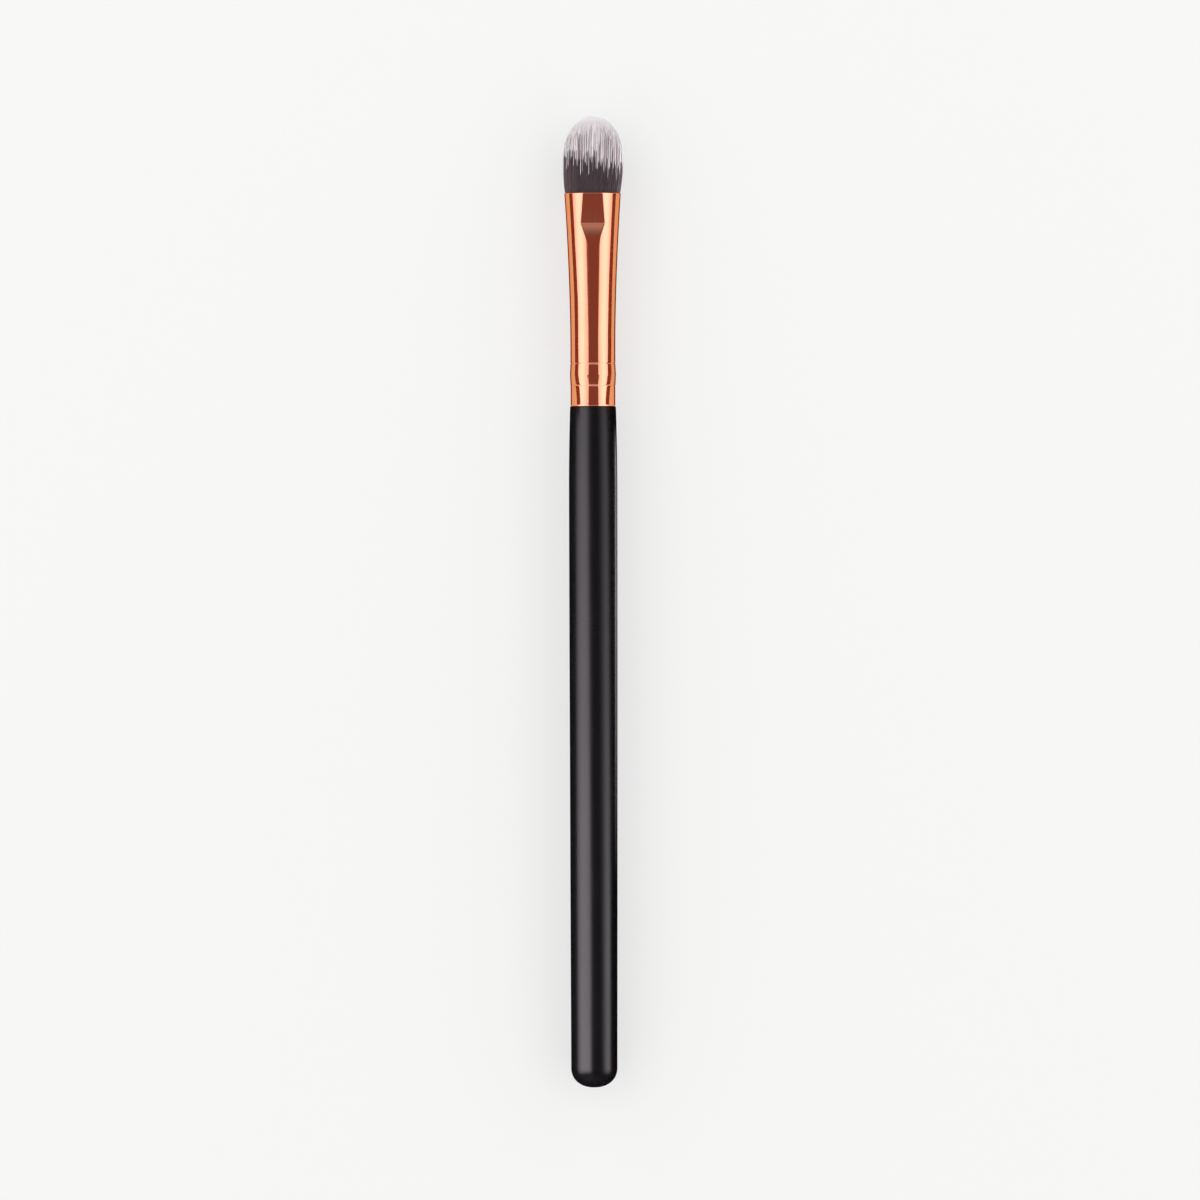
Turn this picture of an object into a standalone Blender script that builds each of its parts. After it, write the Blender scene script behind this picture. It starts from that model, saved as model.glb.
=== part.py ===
"""A small blending brush with a domed tuft, lying with one pressed flat of its ferrule up.

Each piece is modelled along the brush's own axis: its local z is 0 at the seam between handle and
ferrule, the tuft points to +z, and the ferrule's pressed flats face +y and -y. One empty then lays
the whole axis down along the world's +Y.
"""

import math
import random

import bmesh
import bpy
from mathutils import Vector

# Handle: turned wood, in metres
HANDLE_LENGTH = 0.1226
BELLY_RADIUS = 0.00445
BELLY_FROM_SEAM = 0.0146
NECK_CURVE = 1.8
TAPER_CURVE = 1.6
SHOULDER_RADIUS = 0.00419
SHOULDER_FILLET = 0.00025
BUTT_RADIUS = 0.0042
BUTT_DOME_LENGTH = 0.0036
BUTT_SQUARENESS = 2.2
TENON_LENGTH = 0.013
TENON_CHAMFER = 0.0006
HANDLE_SIDES = 42

# Ferrule: drawn tube, flared towards the mouth, where two flats are pressed on opposite sides
FERRULE_LENGTH = 0.0384
TUBE_RADIUS = 0.00404
WALL = 0.00035
MOUTH_HALF_WIDTH = 0.00509
MOUTH_HALF_THICKNESS = 0.00505
FLARE_START = 0.01
FLARE_POWER = 1.8
FLAT_LENGTH = 0.0054
FLAT_WIDTH_AT_MOUTH = 0.0035
FLAT_WIDTH_AT_CREASE = 0.0044
FUNNEL_LENGTH = 0.0045
FUNNEL_END_WIDTH = 0.0012
RIM_BEVEL = 0.0001

# Two crimped grooves that hold the tenon, with a barrel between them and a drawn-in collar below
LOWER_CRIMP = 0.0038
UPPER_CRIMP = 0.00775
CRIMP_WIDTH = 0.00056
CRIMP_DEPTH = 0.00018
BARREL_RISE = 0.00013
COLLAR_DRAW_IN = 0.00005

# Tuft: filaments packed solid inside the ferrule and free above it
TUFT_LENGTH = 0.0138
TUFT_SET_IN = 0.011
TUFT_HALF_WIDTH = 0.00522
TUFT_HALF_THICKNESS = 0.0047
TIP_HALF_THICKNESS = 0.0043
SWELL_HEIGHT = 0.0008
SWELL_INSIDE_RIM = 0.00014
FULLEST_HEIGHT = 0.004
DOME_HEIGHT = 0.0058
FREE_FROM_BELOW_RIM = 0.0002
CELLS_ACROSS = 13
CELLS_THROUGH = 12
CELL_UNEVENNESS = 0.2
STRAND_SHARE = 0.7
STRAND_SWELL = 1.12
STRAND_TIP_SHARE = 0.35
STRAND_END_UNEVENNESS = 0.0003
STRAND_SEED = 11
DYE_FADES_FROM = 0.0028
DYE_FADES_TO = 0.0076

# Binding thread, wound round a waist in the packed root
THREAD_RADIUS = 0.0002
THREAD_TURNS = 4
THREAD_PITCH = 0.00085
THREAD_POINTS_PER_TURN = 16
WAIST_FROM_ROOT = 0.0021
WAIST_SHOULDER = 0.0006

# Cured glues
ROOT_GLUE_LENGTH = 0.003
ROOT_GLUE_DISH = 0.0012
TENON_GLUE_LENGTH = 0.0012
TENON_GLUE_DISH = 0.0005

# Between pieces that are glued, crimped or seated together
SEAT_GAP = 0.0003

# Facets
ARC_STEPS = 16
FLAT_STEPS = 6
GLUE_SIDES = 36

FERRULE_END = SEAT_GAP + FERRULE_LENGTH
CREASE = FERRULE_END - FLAT_LENGTH
TUFT_ROOT = FERRULE_END - TUFT_SET_IN
TUFT_FREE = FERRULE_END - FREE_FROM_BELOW_RIM
SWOLLEN = FERRULE_END + SWELL_HEIGHT
FULLEST = FERRULE_END + FULLEST_HEIGHT
TUFT_END = FERRULE_END + TUFT_LENGTH
BORE_RADIUS = TUBE_RADIUS - WALL
TENON_RADIUS = BORE_RADIUS - SEAT_GAP


def clear_scene():
    for old in list(bpy.data.objects):
        bpy.data.objects.remove(old)


def material(name, colour, roughness, metallic=0.0):
    made = bpy.data.materials.new(name)
    made.use_nodes = True
    shader = made.node_tree.nodes["Principled BSDF"]
    shader.inputs["Base Color"].default_value = (*colour, 1.0)
    shader.inputs["Roughness"].default_value = roughness
    shader.inputs["Metallic"].default_value = metallic
    return made


def dyed_filament(name, root_colour, tip_colour, roughness):
    """A filament material that turns from the root's colour to the tip's along the brush's axis."""
    made = material(name, tip_colour, roughness)
    tree = made.node_tree
    place = tree.nodes.new("ShaderNodeTexCoord")
    split = tree.nodes.new("ShaderNodeSeparateXYZ")
    along = tree.nodes.new("ShaderNodeMapRange")
    along.inputs["From Min"].default_value = FERRULE_END + DYE_FADES_FROM
    along.inputs["From Max"].default_value = FERRULE_END + DYE_FADES_TO
    dye = tree.nodes.new("ShaderNodeMix")
    dye.data_type = "RGBA"
    dye.inputs["A"].default_value = (*root_colour, 1.0)
    dye.inputs["B"].default_value = (*tip_colour, 1.0)
    tree.links.new(place.outputs["Object"], split.inputs["Vector"])
    tree.links.new(split.outputs["Z"], along.inputs["Value"])
    tree.links.new(along.outputs["Result"], dye.inputs["Factor"])
    tree.links.new(dye.outputs["Result"], tree.nodes["Principled BSDF"].inputs["Base Color"])
    return made


def add_piece(name, data, finish, axis, collection):
    """Links a mesh or curve as one piece, on the brush's axis."""
    piece = bpy.data.objects.new(name, data)
    data.materials.append(finish)
    piece.parent = axis
    collection.objects.link(piece)
    return piece


def superellipse_point(angle, half_width, half_thickness, squareness=2.0):
    """The point of an ellipse, or of a squarer curve, that an angle of 0 puts on +x."""
    power = 2 / squareness
    cos, sin = math.cos(angle), math.sin(angle)
    x = math.copysign(half_width * abs(cos) ** power, cos)
    y = math.copysign(half_thickness * abs(sin) ** power, sin)
    return x, y


def ellipse_height(x, half_width, half_thickness):
    return half_thickness * math.sqrt(1 - min(1.0, abs(x) / half_width) ** 2)


def flare_share(height):
    """How far along the flare a height on the ferrule is, from 0 to 1."""
    run = FERRULE_LENGTH - FLARE_START
    return min(1.0, max(0.0, (height - SEAT_GAP - FLARE_START) / run))


def ferrule_oval(height):
    """Half width and half thickness of the ferrule's outside, without crimps and flats."""
    flared = flare_share(height) ** FLARE_POWER
    half_width = TUBE_RADIUS + (MOUTH_HALF_WIDTH - TUBE_RADIUS) * flared
    half_thickness = TUBE_RADIUS + (MOUTH_HALF_THICKNESS - TUBE_RADIUS) * flared
    return half_width, half_thickness


def flat_half_width(height):
    """Half width of the pressed flat, and of the funnel in which it runs out below its crease."""
    if height >= CREASE:
        share = (height - CREASE) / FLAT_LENGTH
        return (FLAT_WIDTH_AT_CREASE + (FLAT_WIDTH_AT_MOUTH - FLAT_WIDTH_AT_CREASE) * share) / 2
    share = min(1.0, (CREASE - height) / FUNNEL_LENGTH)
    return (FLAT_WIDTH_AT_CREASE + (FUNNEL_END_WIDTH - FLAT_WIDTH_AT_CREASE) * share) / 2


def flat_height(height):
    """Distance of the pressed flat from the axis: where its edges meet the flared tube."""
    return ellipse_height(flat_half_width(height), *ferrule_oval(height))


def crimp_offset(height):
    """How far the crimps, the barrel and the collar move the round tube's wall outwards."""
    above_end = height - SEAT_GAP
    for crimp in (LOWER_CRIMP, UPPER_CRIMP):
        away = abs(above_end - crimp) / (CRIMP_WIDTH / 2)
        if away < 1:
            return -CRIMP_DEPTH * (1 - away)
    if above_end < LOWER_CRIMP:
        return -COLLAR_DRAW_IN
    middle = (LOWER_CRIMP + UPPER_CRIMP) / 2
    half_span = (UPPER_CRIMP - LOWER_CRIMP - CRIMP_WIDTH) / 2
    return BARREL_RISE * max(0.0, 1 - ((above_end - middle) / half_span) ** 2)


def ferrule_ring(height, inset=0.0, pressed=True):
    """One closed section of the ferrule at a height, as points from the +x side round through +y."""
    half_width, half_thickness = ferrule_oval(height)
    offset = crimp_offset(height) - inset
    oval = (half_width + offset, half_thickness + offset)
    edge_x = flat_half_width(height)
    edge_angle = math.acos(edge_x / oval[0])
    flat_y = ellipse_height(edge_x, *oval)
    side = []
    for step in range(ARC_STEPS):
        angle = edge_angle * (2 * step / ARC_STEPS - 1)
        side.append(superellipse_point(angle, *oval))
    front = []
    for step in range(FLAT_STEPS):
        x = edge_x * (1 - 2 * step / FLAT_STEPS)
        front.append((x, flat_y if pressed else ellipse_height(x, *oval)))
    half = side + front
    return [Vector((x, y, height)) for x, y in half + [(-x, -y) for x, y in half]]


def loft(rings, capped):
    """A mesh through closed rings that run upwards, each listed anticlockwise seen from above."""
    shape = bmesh.new()
    loops = [[shape.verts.new(point) for point in ring] for ring in rings]
    for lower, upper in zip(loops, loops[1:]):
        for index in range(len(lower)):
            shape.faces.new((lower[index - 1], lower[index], upper[index], upper[index - 1]))
    if capped:
        shape.faces.new(reversed(loops[0]))
        shape.faces.new(loops[-1])
    return finished_mesh(shape)


def finished_mesh(shape):
    mesh = bpy.data.meshes.new("shape")
    shape.to_mesh(mesh)
    shape.free()
    mesh.shade_smooth()
    mesh.set_sharp_from_angle(angle=math.radians(35))
    return mesh


def turned_piece(name, profile, sides, finish, axis, collection):
    """A turned piece from (radius, height) points that run down its outer side, top to bottom."""
    mesh = bpy.data.meshes.new(name)
    edges = [(index, index + 1) for index in range(len(profile) - 1)]
    mesh.from_pydata([(radius, 0, height) for radius, height in profile], edges, [])
    piece = add_piece(name, mesh, finish, axis, collection)
    turn = piece.modifiers.new("Turn", "SCREW")
    turn.steps = turn.render_steps = sides
    turn.use_merge_vertices = True
    turn.merge_threshold = 0.00001
    return piece


def crimped_tenon_profile():
    """The tenon's side from its chamfer down to the seam, with a groove under each crimp."""
    points = [(TENON_RADIUS, TENON_LENGTH - TENON_CHAMFER)]
    for crimp in (UPPER_CRIMP, LOWER_CRIMP):
        middle = SEAT_GAP + crimp
        points.append((TENON_RADIUS, middle + CRIMP_WIDTH / 2))
        points.append((TENON_RADIUS - CRIMP_DEPTH, middle))
        points.append((TENON_RADIUS, middle - CRIMP_WIDTH / 2))
    points.append((TENON_RADIUS, 0.0))
    return points


def shoulder_profile(steps=3):
    """The rounded edge where the handle meets the ferrule."""
    points = []
    for step in range(steps + 1):
        angle = math.pi / 2 * (1 - step / steps)
        radius = SHOULDER_RADIUS - SHOULDER_FILLET * (1 - math.cos(angle))
        points.append((radius, -SHOULDER_FILLET * (1 - math.sin(angle))))
    return points


def body_profile(neck_steps=5, taper_steps=6):
    """The handle's side from the shoulder out to the belly and on down to the butt's dome."""
    points = []
    neck_length = BELLY_FROM_SEAM - SHOULDER_FILLET
    for step in range(1, neck_steps + 1):
        share = 1 - step / neck_steps
        radius = BELLY_RADIUS - (BELLY_RADIUS - SHOULDER_RADIUS) * share**NECK_CURVE
        points.append((radius, -BELLY_FROM_SEAM + neck_length * share))
    taper_length = HANDLE_LENGTH - BUTT_DOME_LENGTH - BELLY_FROM_SEAM
    for step in range(1, taper_steps + 1):
        share = step / taper_steps
        radius = BELLY_RADIUS - (BELLY_RADIUS - BUTT_RADIUS) * share**TAPER_CURVE
        points.append((radius, -BELLY_FROM_SEAM - taper_length * share))
    return points


def butt_profile(steps=9):
    """The rounded end of the handle, down to the axis."""
    points = []
    for step in range(1, steps + 1):
        angle = math.pi / 2 * step / steps
        out, down = superellipse_point(angle, BUTT_RADIUS, BUTT_DOME_LENGTH, BUTT_SQUARENESS)
        points.append((out if step < steps else 0.0, BUTT_DOME_LENGTH - HANDLE_LENGTH - down))
    return points


def make_handle(axis, collection):
    tip = [(0.0, TENON_LENGTH), (TENON_RADIUS - TENON_CHAMFER, TENON_LENGTH)]
    profile = tip + crimped_tenon_profile() + shoulder_profile() + body_profile() + butt_profile()
    lacquer = material("black_lacquer", (0.012, 0.011, 0.012), 0.36)
    return turned_piece("handle", profile, HANDLE_SIDES, lacquer, axis, collection)


def ferrule_heights():
    """Heights of the ferrule's round and flared sections above its lower end, up to the funnel."""
    heights = [0.0]
    for crimp in (LOWER_CRIMP, UPPER_CRIMP):
        heights += [crimp - CRIMP_WIDTH / 2, crimp, crimp + CRIMP_WIDTH / 2]
    barrel_start = LOWER_CRIMP + CRIMP_WIDTH / 2
    barrel_end = UPPER_CRIMP - CRIMP_WIDTH / 2
    heights += [barrel_start + (barrel_end - barrel_start) * share for share in (0.2, 0.5, 0.8)]
    flare_end = FERRULE_LENGTH - FLAT_LENGTH - FUNNEL_LENGTH
    flare_steps = 7
    for step in range(flare_steps):
        heights.append(FLARE_START + (flare_end - FLARE_START) * step / flare_steps)
    return sorted(heights)


def make_ferrule(axis, collection):
    rings = [ferrule_ring(SEAT_GAP + height, pressed=False) for height in ferrule_heights()]
    rings += [ferrule_ring(CREASE - FUNNEL_LENGTH * share) for share in (1.0, 0.8, 0.6, 0.4, 0.2)]
    rings += [ferrule_ring(CREASE + FLAT_LENGTH * share) for share in (0.0, 0.5, 1.0)]
    copper = material("rose_gold_plate", (0.93, 0.4, 0.22), 0.16, 1.0)
    ferrule = add_piece("ferrule", loft(rings, capped=False), copper, axis, collection)
    wall = ferrule.modifiers.new("Wall", "SOLIDIFY")
    wall.thickness = WALL
    wall.offset = -1
    wall.use_even_offset = True
    rim = ferrule.modifiers.new("Rims", "BEVEL")
    rim.width = min(RIM_BEVEL, WALL / 3)
    rim.segments = 1
    rim.limit_method = "ANGLE"
    rim.angle_limit = math.radians(70)
    return ferrule


def waist_depth(height):
    """How far the binding thread draws the packed root in."""
    start = TUFT_ROOT + WAIST_FROM_ROOT
    end = start + THREAD_TURNS * THREAD_PITCH + 2 * THREAD_RADIUS
    outside = max(start - height, height - end, 0.0)
    return (2 * THREAD_RADIUS + SEAT_GAP) * max(0.0, 1 - outside / WAIST_SHOULDER)


def bundle_oval(height):
    """Half width and half thickness of the filament bundle at a height."""
    if height <= TUFT_FREE:
        inset = WALL + SEAT_GAP + waist_depth(height)
        return ferrule_oval(height)[0] - inset, flat_height(height) - inset
    root_width, root_thickness = bundle_oval(TUFT_FREE)
    mouth_thickness = flat_height(FERRULE_END)
    stations = [
        (TUFT_FREE, root_width, root_thickness),
        (SWOLLEN, MOUTH_HALF_WIDTH - SWELL_INSIDE_RIM, mouth_thickness - SWELL_INSIDE_RIM),
        (FULLEST, TUFT_HALF_WIDTH, TUFT_HALF_THICKNESS),
        (TUFT_END, TUFT_HALF_WIDTH, TIP_HALF_THICKNESS),
    ]
    for lower, upper in zip(stations, stations[1:]):
        if height <= upper[0] or upper is stations[-1]:
            share = (height - lower[0]) / (upper[0] - lower[0])
            half_width = lower[1] + (upper[1] - lower[1]) * share
            half_thickness = lower[2] + (upper[2] - lower[2]) * share
            return half_width, half_thickness


def bundle_point(across, through, height):
    """Where a filament at this place in the unit disc runs at a height, so that none cross."""
    angle = math.atan2(through, across)
    out = math.hypot(across, through)
    x, y = superellipse_point(angle, *bundle_oval(height))
    return Vector((out * x, out * y, height))


def strand_end(place, chance):
    """The height of a filament's tip: the tuft is domed, so the outer ones are shorter and less even."""
    out = min(1.0, math.hypot(place.x, place.y))
    dome = DOME_HEIGHT * (1 - math.sqrt(1 - out * out))
    return TUFT_END - dome - STRAND_END_UNEVENNESS * out * chance.random()


def lay_cells(shape, chance):
    """Lays triangular cells over the unit disc, uneven enough that the gaps between them don't align."""
    bmesh.ops.create_grid(shape, x_segments=CELLS_ACROSS, y_segments=CELLS_THROUGH, size=1)
    for vertex in shape.verts:
        if not vertex.is_boundary:
            vertex.co.x += CELL_UNEVENNESS * 2 / CELLS_ACROSS * chance.uniform(-1, 1)
            vertex.co.y += CELL_UNEVENNESS * 2 / CELLS_THROUGH * chance.uniform(-1, 1)
    for vertex in shape.verts:
        x, y = vertex.co.x, vertex.co.y
        vertex.co = (x * math.sqrt(1 - y * y / 2), y * math.sqrt(1 - x * x / 2), TUFT_FREE)
    bmesh.ops.triangulate(shape, faces=shape.faces, quad_method="SHORT_EDGE")


def root_heights():
    """Heights of the packed root's sections, from its free end in the ferrule down to the root."""
    waist_start = TUFT_ROOT + WAIST_FROM_ROOT
    waist_end = waist_start + THREAD_TURNS * THREAD_PITCH + 2 * THREAD_RADIUS
    return [waist_end + WAIST_SHOULDER, waist_end, waist_start, waist_start - WAIST_SHOULDER, TUFT_ROOT]


def draw_root(shape):
    """Draws the border of the cells down the ferrule as the packed root, and closes its end."""
    border = [edge for edge in shape.edges if edge.is_boundary]
    for height in root_heights():
        made = bmesh.ops.extrude_edge_only(shape, edges=border)["geom"]
        border = [part for part in made if isinstance(part, bmesh.types.BMEdge) and part.is_boundary]
        for vertex in {vertex for edge in border for vertex in edge.verts}:
            vertex.co.z = height
    bmesh.ops.holes_fill(shape, edges=border)


def draw_strand(shape, cell, place, end):
    """Draws one filament up from its cell of the packed root, which lay at this place in the disc."""
    bmesh.ops.inset_individual(shape, faces=[cell], thickness=0.0)
    centre = cell.calc_center_median()
    for vertex in cell.verts:
        vertex.co = centre + (vertex.co - centre) * STRAND_SHARE
    for height, girth in ((SWOLLEN, STRAND_SWELL), (FULLEST, 1.0), (end, STRAND_TIP_SHARE)):
        cell = bmesh.ops.extrude_discrete_faces(shape, faces=[cell])["faces"][0]
        below = cell.calc_center_median()
        centre = bundle_point(place.x, place.y, height)
        for vertex in cell.verts:
            vertex.co = centre + (vertex.co - below) * girth


def make_tuft(axis, collection):
    """The filaments, one from each cell of the packed root's upper face."""
    chance = random.Random(STRAND_SEED)
    shape = bmesh.new()
    lay_cells(shape, chance)
    cells = [(cell, cell.calc_center_median()) for cell in shape.faces]
    draw_root(shape)
    for vertex in shape.verts:
        vertex.co = bundle_point(*vertex.co)
    for cell, place in cells:
        draw_strand(shape, cell, place, strand_end(place, chance))
    bmesh.ops.recalc_face_normals(shape, faces=shape.faces)
    filament = dyed_filament("dyed_filament", (0.05, 0.035, 0.04), (0.8, 0.76, 0.78), 0.55)
    print(f"bristle_tuft: {len(cells)} strands")
    return add_piece("bristle_tuft", finished_mesh(shape), filament, axis, collection)


def thread_points():
    """The centre line of the binding thread, round the waist of the packed root."""
    start = TUFT_ROOT + WAIST_FROM_ROOT + THREAD_RADIUS
    points = []
    count = THREAD_TURNS * THREAD_POINTS_PER_TURN
    for step in range(count + 1):
        height = start + THREAD_PITCH * step / THREAD_POINTS_PER_TURN
        half_width, half_thickness = bundle_oval(height)
        clear = SEAT_GAP + THREAD_RADIUS
        angle = math.tau * step / THREAD_POINTS_PER_TURN
        x, y = superellipse_point(angle, half_width + clear, half_thickness + clear)
        points.append(Vector((x, y, height)))
    return points


def least_gap(points, radius, apart):
    """The least clear distance between two turns, measured on points."""
    pairs = ((a, b) for a in range(len(points)) for b in range(a + apart, len(points)))
    return min((points[a] - points[b]).length for a, b in pairs) - 2 * radius


def make_thread(axis, collection):
    points = thread_points()
    curve = bpy.data.curves.new("binding_thread", "CURVE")
    curve.dimensions = "3D"
    curve.bevel_depth = THREAD_RADIUS
    curve.bevel_resolution = 1
    curve.use_fill_caps = True
    line = curve.splines.new("POLY")
    line.points.add(len(points) - 1)
    for spot, point in zip(line.points, points):
        spot.co = (*point, 1.0)
    gap = least_gap(points, THREAD_RADIUS, THREAD_POINTS_PER_TURN // 2)
    print(f"binding_thread: least gap between turns {gap * 1000:.2f} mm")
    cotton = material("waxed_cotton", (0.72, 0.66, 0.52), 0.8)
    return add_piece("binding_thread", curve, cotton, axis, collection)


def make_root_glue(axis, collection):
    """The cured resin behind the tuft's root, with the dished face that it sets with."""
    top = TUFT_ROOT - SEAT_GAP
    bottom = top - ROOT_GLUE_LENGTH
    inset = WALL + SEAT_GAP
    rim = ferrule_ring(bottom, inset)
    dish = []
    for share in (0.45, 0.8):
        depth = ROOT_GLUE_DISH * (1 - share**2)
        dish.append([Vector((point.x * share, point.y * share, bottom + depth)) for point in rim])
    mesh = loft(dish + [rim, ferrule_ring(top, inset)], capped=True)
    resin = material("clear_epoxy", (0.62, 0.5, 0.3), 0.25)
    return add_piece("root_epoxy", mesh, resin, axis, collection)


def make_tenon_glue(axis, collection):
    """The cured glue that stands at the tenon's tip and fills the space round its chamfer."""
    radius = BORE_RADIUS - SEAT_GAP
    seat = TENON_LENGTH + SEAT_GAP
    top = seat + TENON_GLUE_LENGTH
    profile = [
        (0.0, top - TENON_GLUE_DISH),
        (0.6 * radius, top - 0.6 * TENON_GLUE_DISH),
        (radius, top),
        (radius, seat - TENON_CHAMFER / 2),
        (radius - TENON_CHAMFER / 2, seat),
        (0.0, seat),
    ]
    glue = material("wood_glue", (0.8, 0.74, 0.58), 0.5)
    return turned_piece("tenon_glue", profile, GLUE_SIDES, glue, axis, collection)


def make_axis(collection):
    """The empty that lays the brush down: the mouth's lower flat meets z = 0, mid-length is y = 0."""
    axis = bpy.data.objects.new("brush_axis", None)
    collection.objects.link(axis)
    overall = HANDLE_LENGTH + TUFT_END
    axis.location = (0, HANDLE_LENGTH - overall / 2, flat_height(FERRULE_END - RIM_BEVEL))
    axis.rotation_euler = (-math.pi / 2, 0, 0)
    return axis


def main():
    clear_scene()
    collection = bpy.data.collections.new("blending_brush")
    bpy.context.scene.collection.children.link(collection)
    axis = make_axis(collection)
    make_handle(axis, collection)
    make_ferrule(axis, collection)
    make_tuft(axis, collection)
    make_thread(axis, collection)
    make_root_glue(axis, collection)
    make_tenon_glue(axis, collection)


main()
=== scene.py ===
"""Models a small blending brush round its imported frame: a lacquered handle, a rose gold ferrule, a
dyed tuft with its packed root and binding thread, and two glues, on a pale floor in a light tent.

The brush lies along +Y with the tuft to the +Y end and a pressed flat of the ferrule up. Each piece
is modelled in place, in metres, round the brush's axis. A height is a place on it, on world Y.
"""

import math

import bpy
import numpy as np
from bpy.props import FloatProperty, FloatVectorProperty, IntProperty, PointerProperty
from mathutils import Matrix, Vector


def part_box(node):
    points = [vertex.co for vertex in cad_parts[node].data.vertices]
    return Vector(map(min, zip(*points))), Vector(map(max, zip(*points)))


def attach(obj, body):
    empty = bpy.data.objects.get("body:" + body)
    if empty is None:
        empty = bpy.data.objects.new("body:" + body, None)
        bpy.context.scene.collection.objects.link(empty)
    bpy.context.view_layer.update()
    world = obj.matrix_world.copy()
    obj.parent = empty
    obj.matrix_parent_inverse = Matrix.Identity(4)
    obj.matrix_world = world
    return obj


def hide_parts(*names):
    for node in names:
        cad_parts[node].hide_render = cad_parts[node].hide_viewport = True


bl_info = {
    "name": "Blending Brush",
    "version": (1, 0, 0),
    "blender": (4, 5, 0),
    "location": "View3D > Sidebar > Brush",
    "description": "Models a blending brush: handle, ferrule, tuft, binding thread and glues",
    "category": "Add Mesh",
}

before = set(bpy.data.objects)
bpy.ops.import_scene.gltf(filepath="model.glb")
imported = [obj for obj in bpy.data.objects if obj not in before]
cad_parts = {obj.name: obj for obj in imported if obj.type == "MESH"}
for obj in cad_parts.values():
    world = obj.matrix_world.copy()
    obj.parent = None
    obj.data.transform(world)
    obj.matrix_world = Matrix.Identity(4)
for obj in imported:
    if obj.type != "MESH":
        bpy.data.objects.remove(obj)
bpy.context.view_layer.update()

# Places that the frame gives
HANDLE_LOW, HANDLE_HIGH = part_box("handle")
FERRULE_LOW, FERRULE_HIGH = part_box("ferrule")
TUFT_LOW, TUFT_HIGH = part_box("bristle_tuft")
THREAD_LOW, THREAD_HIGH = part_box("binding_thread")
AXIS_HEIGHT = (HANDLE_LOW.z + HANDLE_HIGH.z) / 2
BUTT = HANDLE_LOW.y
TENON_END = HANDLE_HIGH.y
FERRULE_START = FERRULE_LOW.y
MOUTH = FERRULE_HIGH.y - 0.0003
MOUTH_HALF_WIDTH = FERRULE_HIGH.x
TUFT_ROOT = TUFT_LOW.y
TUFT_TIP = TUFT_HIGH.y

# Clearances
SEAT_GAP = 0.0003
SHOULDER_GAP = 0.00002
SEAM = FERRULE_START - SEAT_GAP

# Handle, whose lacquer ends on the tenon
BELLY_RADIUS = 0.00436
SHOULDER_RADIUS = 0.00413
SHOULDER_FILLET = 0.00005
BELLY_FROM_SEAM = 0.0146
NECK_CURVE = 1.8
TAPER_CURVE = 1.4
BUTT_RADIUS = 0.00416
BUTT_DOME_LENGTH = 0.0036
BUTT_SQUARENESS = 2.2
TENON_CHAMFER = 0.0006
LACQUER_END = SEAM + 0.0009
BARE_WOOD_START = SEAM + 0.0013

# Ferrule: a drawn tube, crimped on the tenon and flared to the mouth, where two flats are pressed
TUBE_RADIUS = 0.00404
WALL = 0.00035
TENON_RADIUS = TUBE_RADIUS - WALL - SEAT_GAP
LOWER_CRIMP = 0.00348
UPPER_CRIMP = 0.00743
CRIMP_REACH = 0.0009
CRIMP_GROOVE_WIDTH = 0.00009
CRIMP_DISH_WIDTH = 0.0003
BARREL_RISE = 0.00009
BARREL_CURVE = 1.15
COLLAR_DRAW_IN = 0.00002
FLARE_START = 0.01
FLARE_POWER = 1.8
MOUTH_HALF_THICKNESS = 0.00505
FLAT_LENGTH = 0.0055
FLAT_WIDTH_AT_MOUTH = 0.0035
FLAT_WIDTH_AT_CREASE = 0.0044
FUNNEL_LENGTH = 0.0045
FUNNEL_END_WIDTH = 0.0012
PRESSED_EDGE_REACH = 0.00004
CREASE_REACH = 0.0003
CREASE_WIDTH = 0.00006
CREASE = MOUTH - FLAT_LENGTH
CRIMP_LINE_SOFTNESS = (0.00006, 0.00012)
SECTION_BUNCHING = 1.8
ARC_STEPS = 58
FLAT_STEPS = 26
RING_STEPS = 2 * (ARC_STEPS + FLAT_STEPS)

# Tuft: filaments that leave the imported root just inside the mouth
PACKED_ROOT_TOP = 0.0012
FILAMENT_START = 0.0022
TUFT_HALF_WIDTH = 0.00533
TUFT_HALF_THICKNESS = 0.0046
TIP_HALF_THICKNESS = 0.0044
DOME_HEIGHT = 0.0073
FRONT_DOME_HEIGHT = 0.0034
FULLEST_HEIGHT = 0.004
RIM_HALF_WIDTH = 0.00498
RIM_SWELL = 0.0002
STRAND_CLEARANCE = 0.00006

# How filaments lie: ranges of height above the mouth in which each thing sets in, and its spread
GATHERING_START = 0.002
LEAN_START = 0.001
LEAN_REACH = 1.2
TUFT_LEAN_RANGE = (0.0, 0.006)
OWN_LEAN_SHARE = 0.45
LARGEST_SHORTFALL = 0.0012
# A filament's tone is partly its own and partly painted shade: its dark end stands in for the shade in the
# gaps between clumps
MEAN_TONE = 0.86
CLUMP_TONE_SPREAD = 0.26
OWN_TONE_SPREAD = 0.56

# The filaments' map: a column holds a dye height and a tone, whose dark end is painted shade
UV_DYE_STEPS = 16
UV_TONE_STEPS = 6
UV_COLUMNS = UV_DYE_STEPS * UV_TONE_STEPS
UV_MARGIN = 0.12
BAKED_MAP = "OFBake"
DYE_WANDER = 0.0003
# Towards the tips the painted shade between clumps fades out
UNSHADED_TIP_RANGE = (0.0085, 0.0135)
UNSHADED_TIP_TONE = 0.95

# Binding thread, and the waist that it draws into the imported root
THREAD_TURNS = 4
THREAD_PITCH = 0.00085
THREAD_RADIUS = (THREAD_HIGH.y - THREAD_LOW.y - THREAD_TURNS * THREAD_PITCH) / 2
WAIST_SHOULDER = 0.0006

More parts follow.
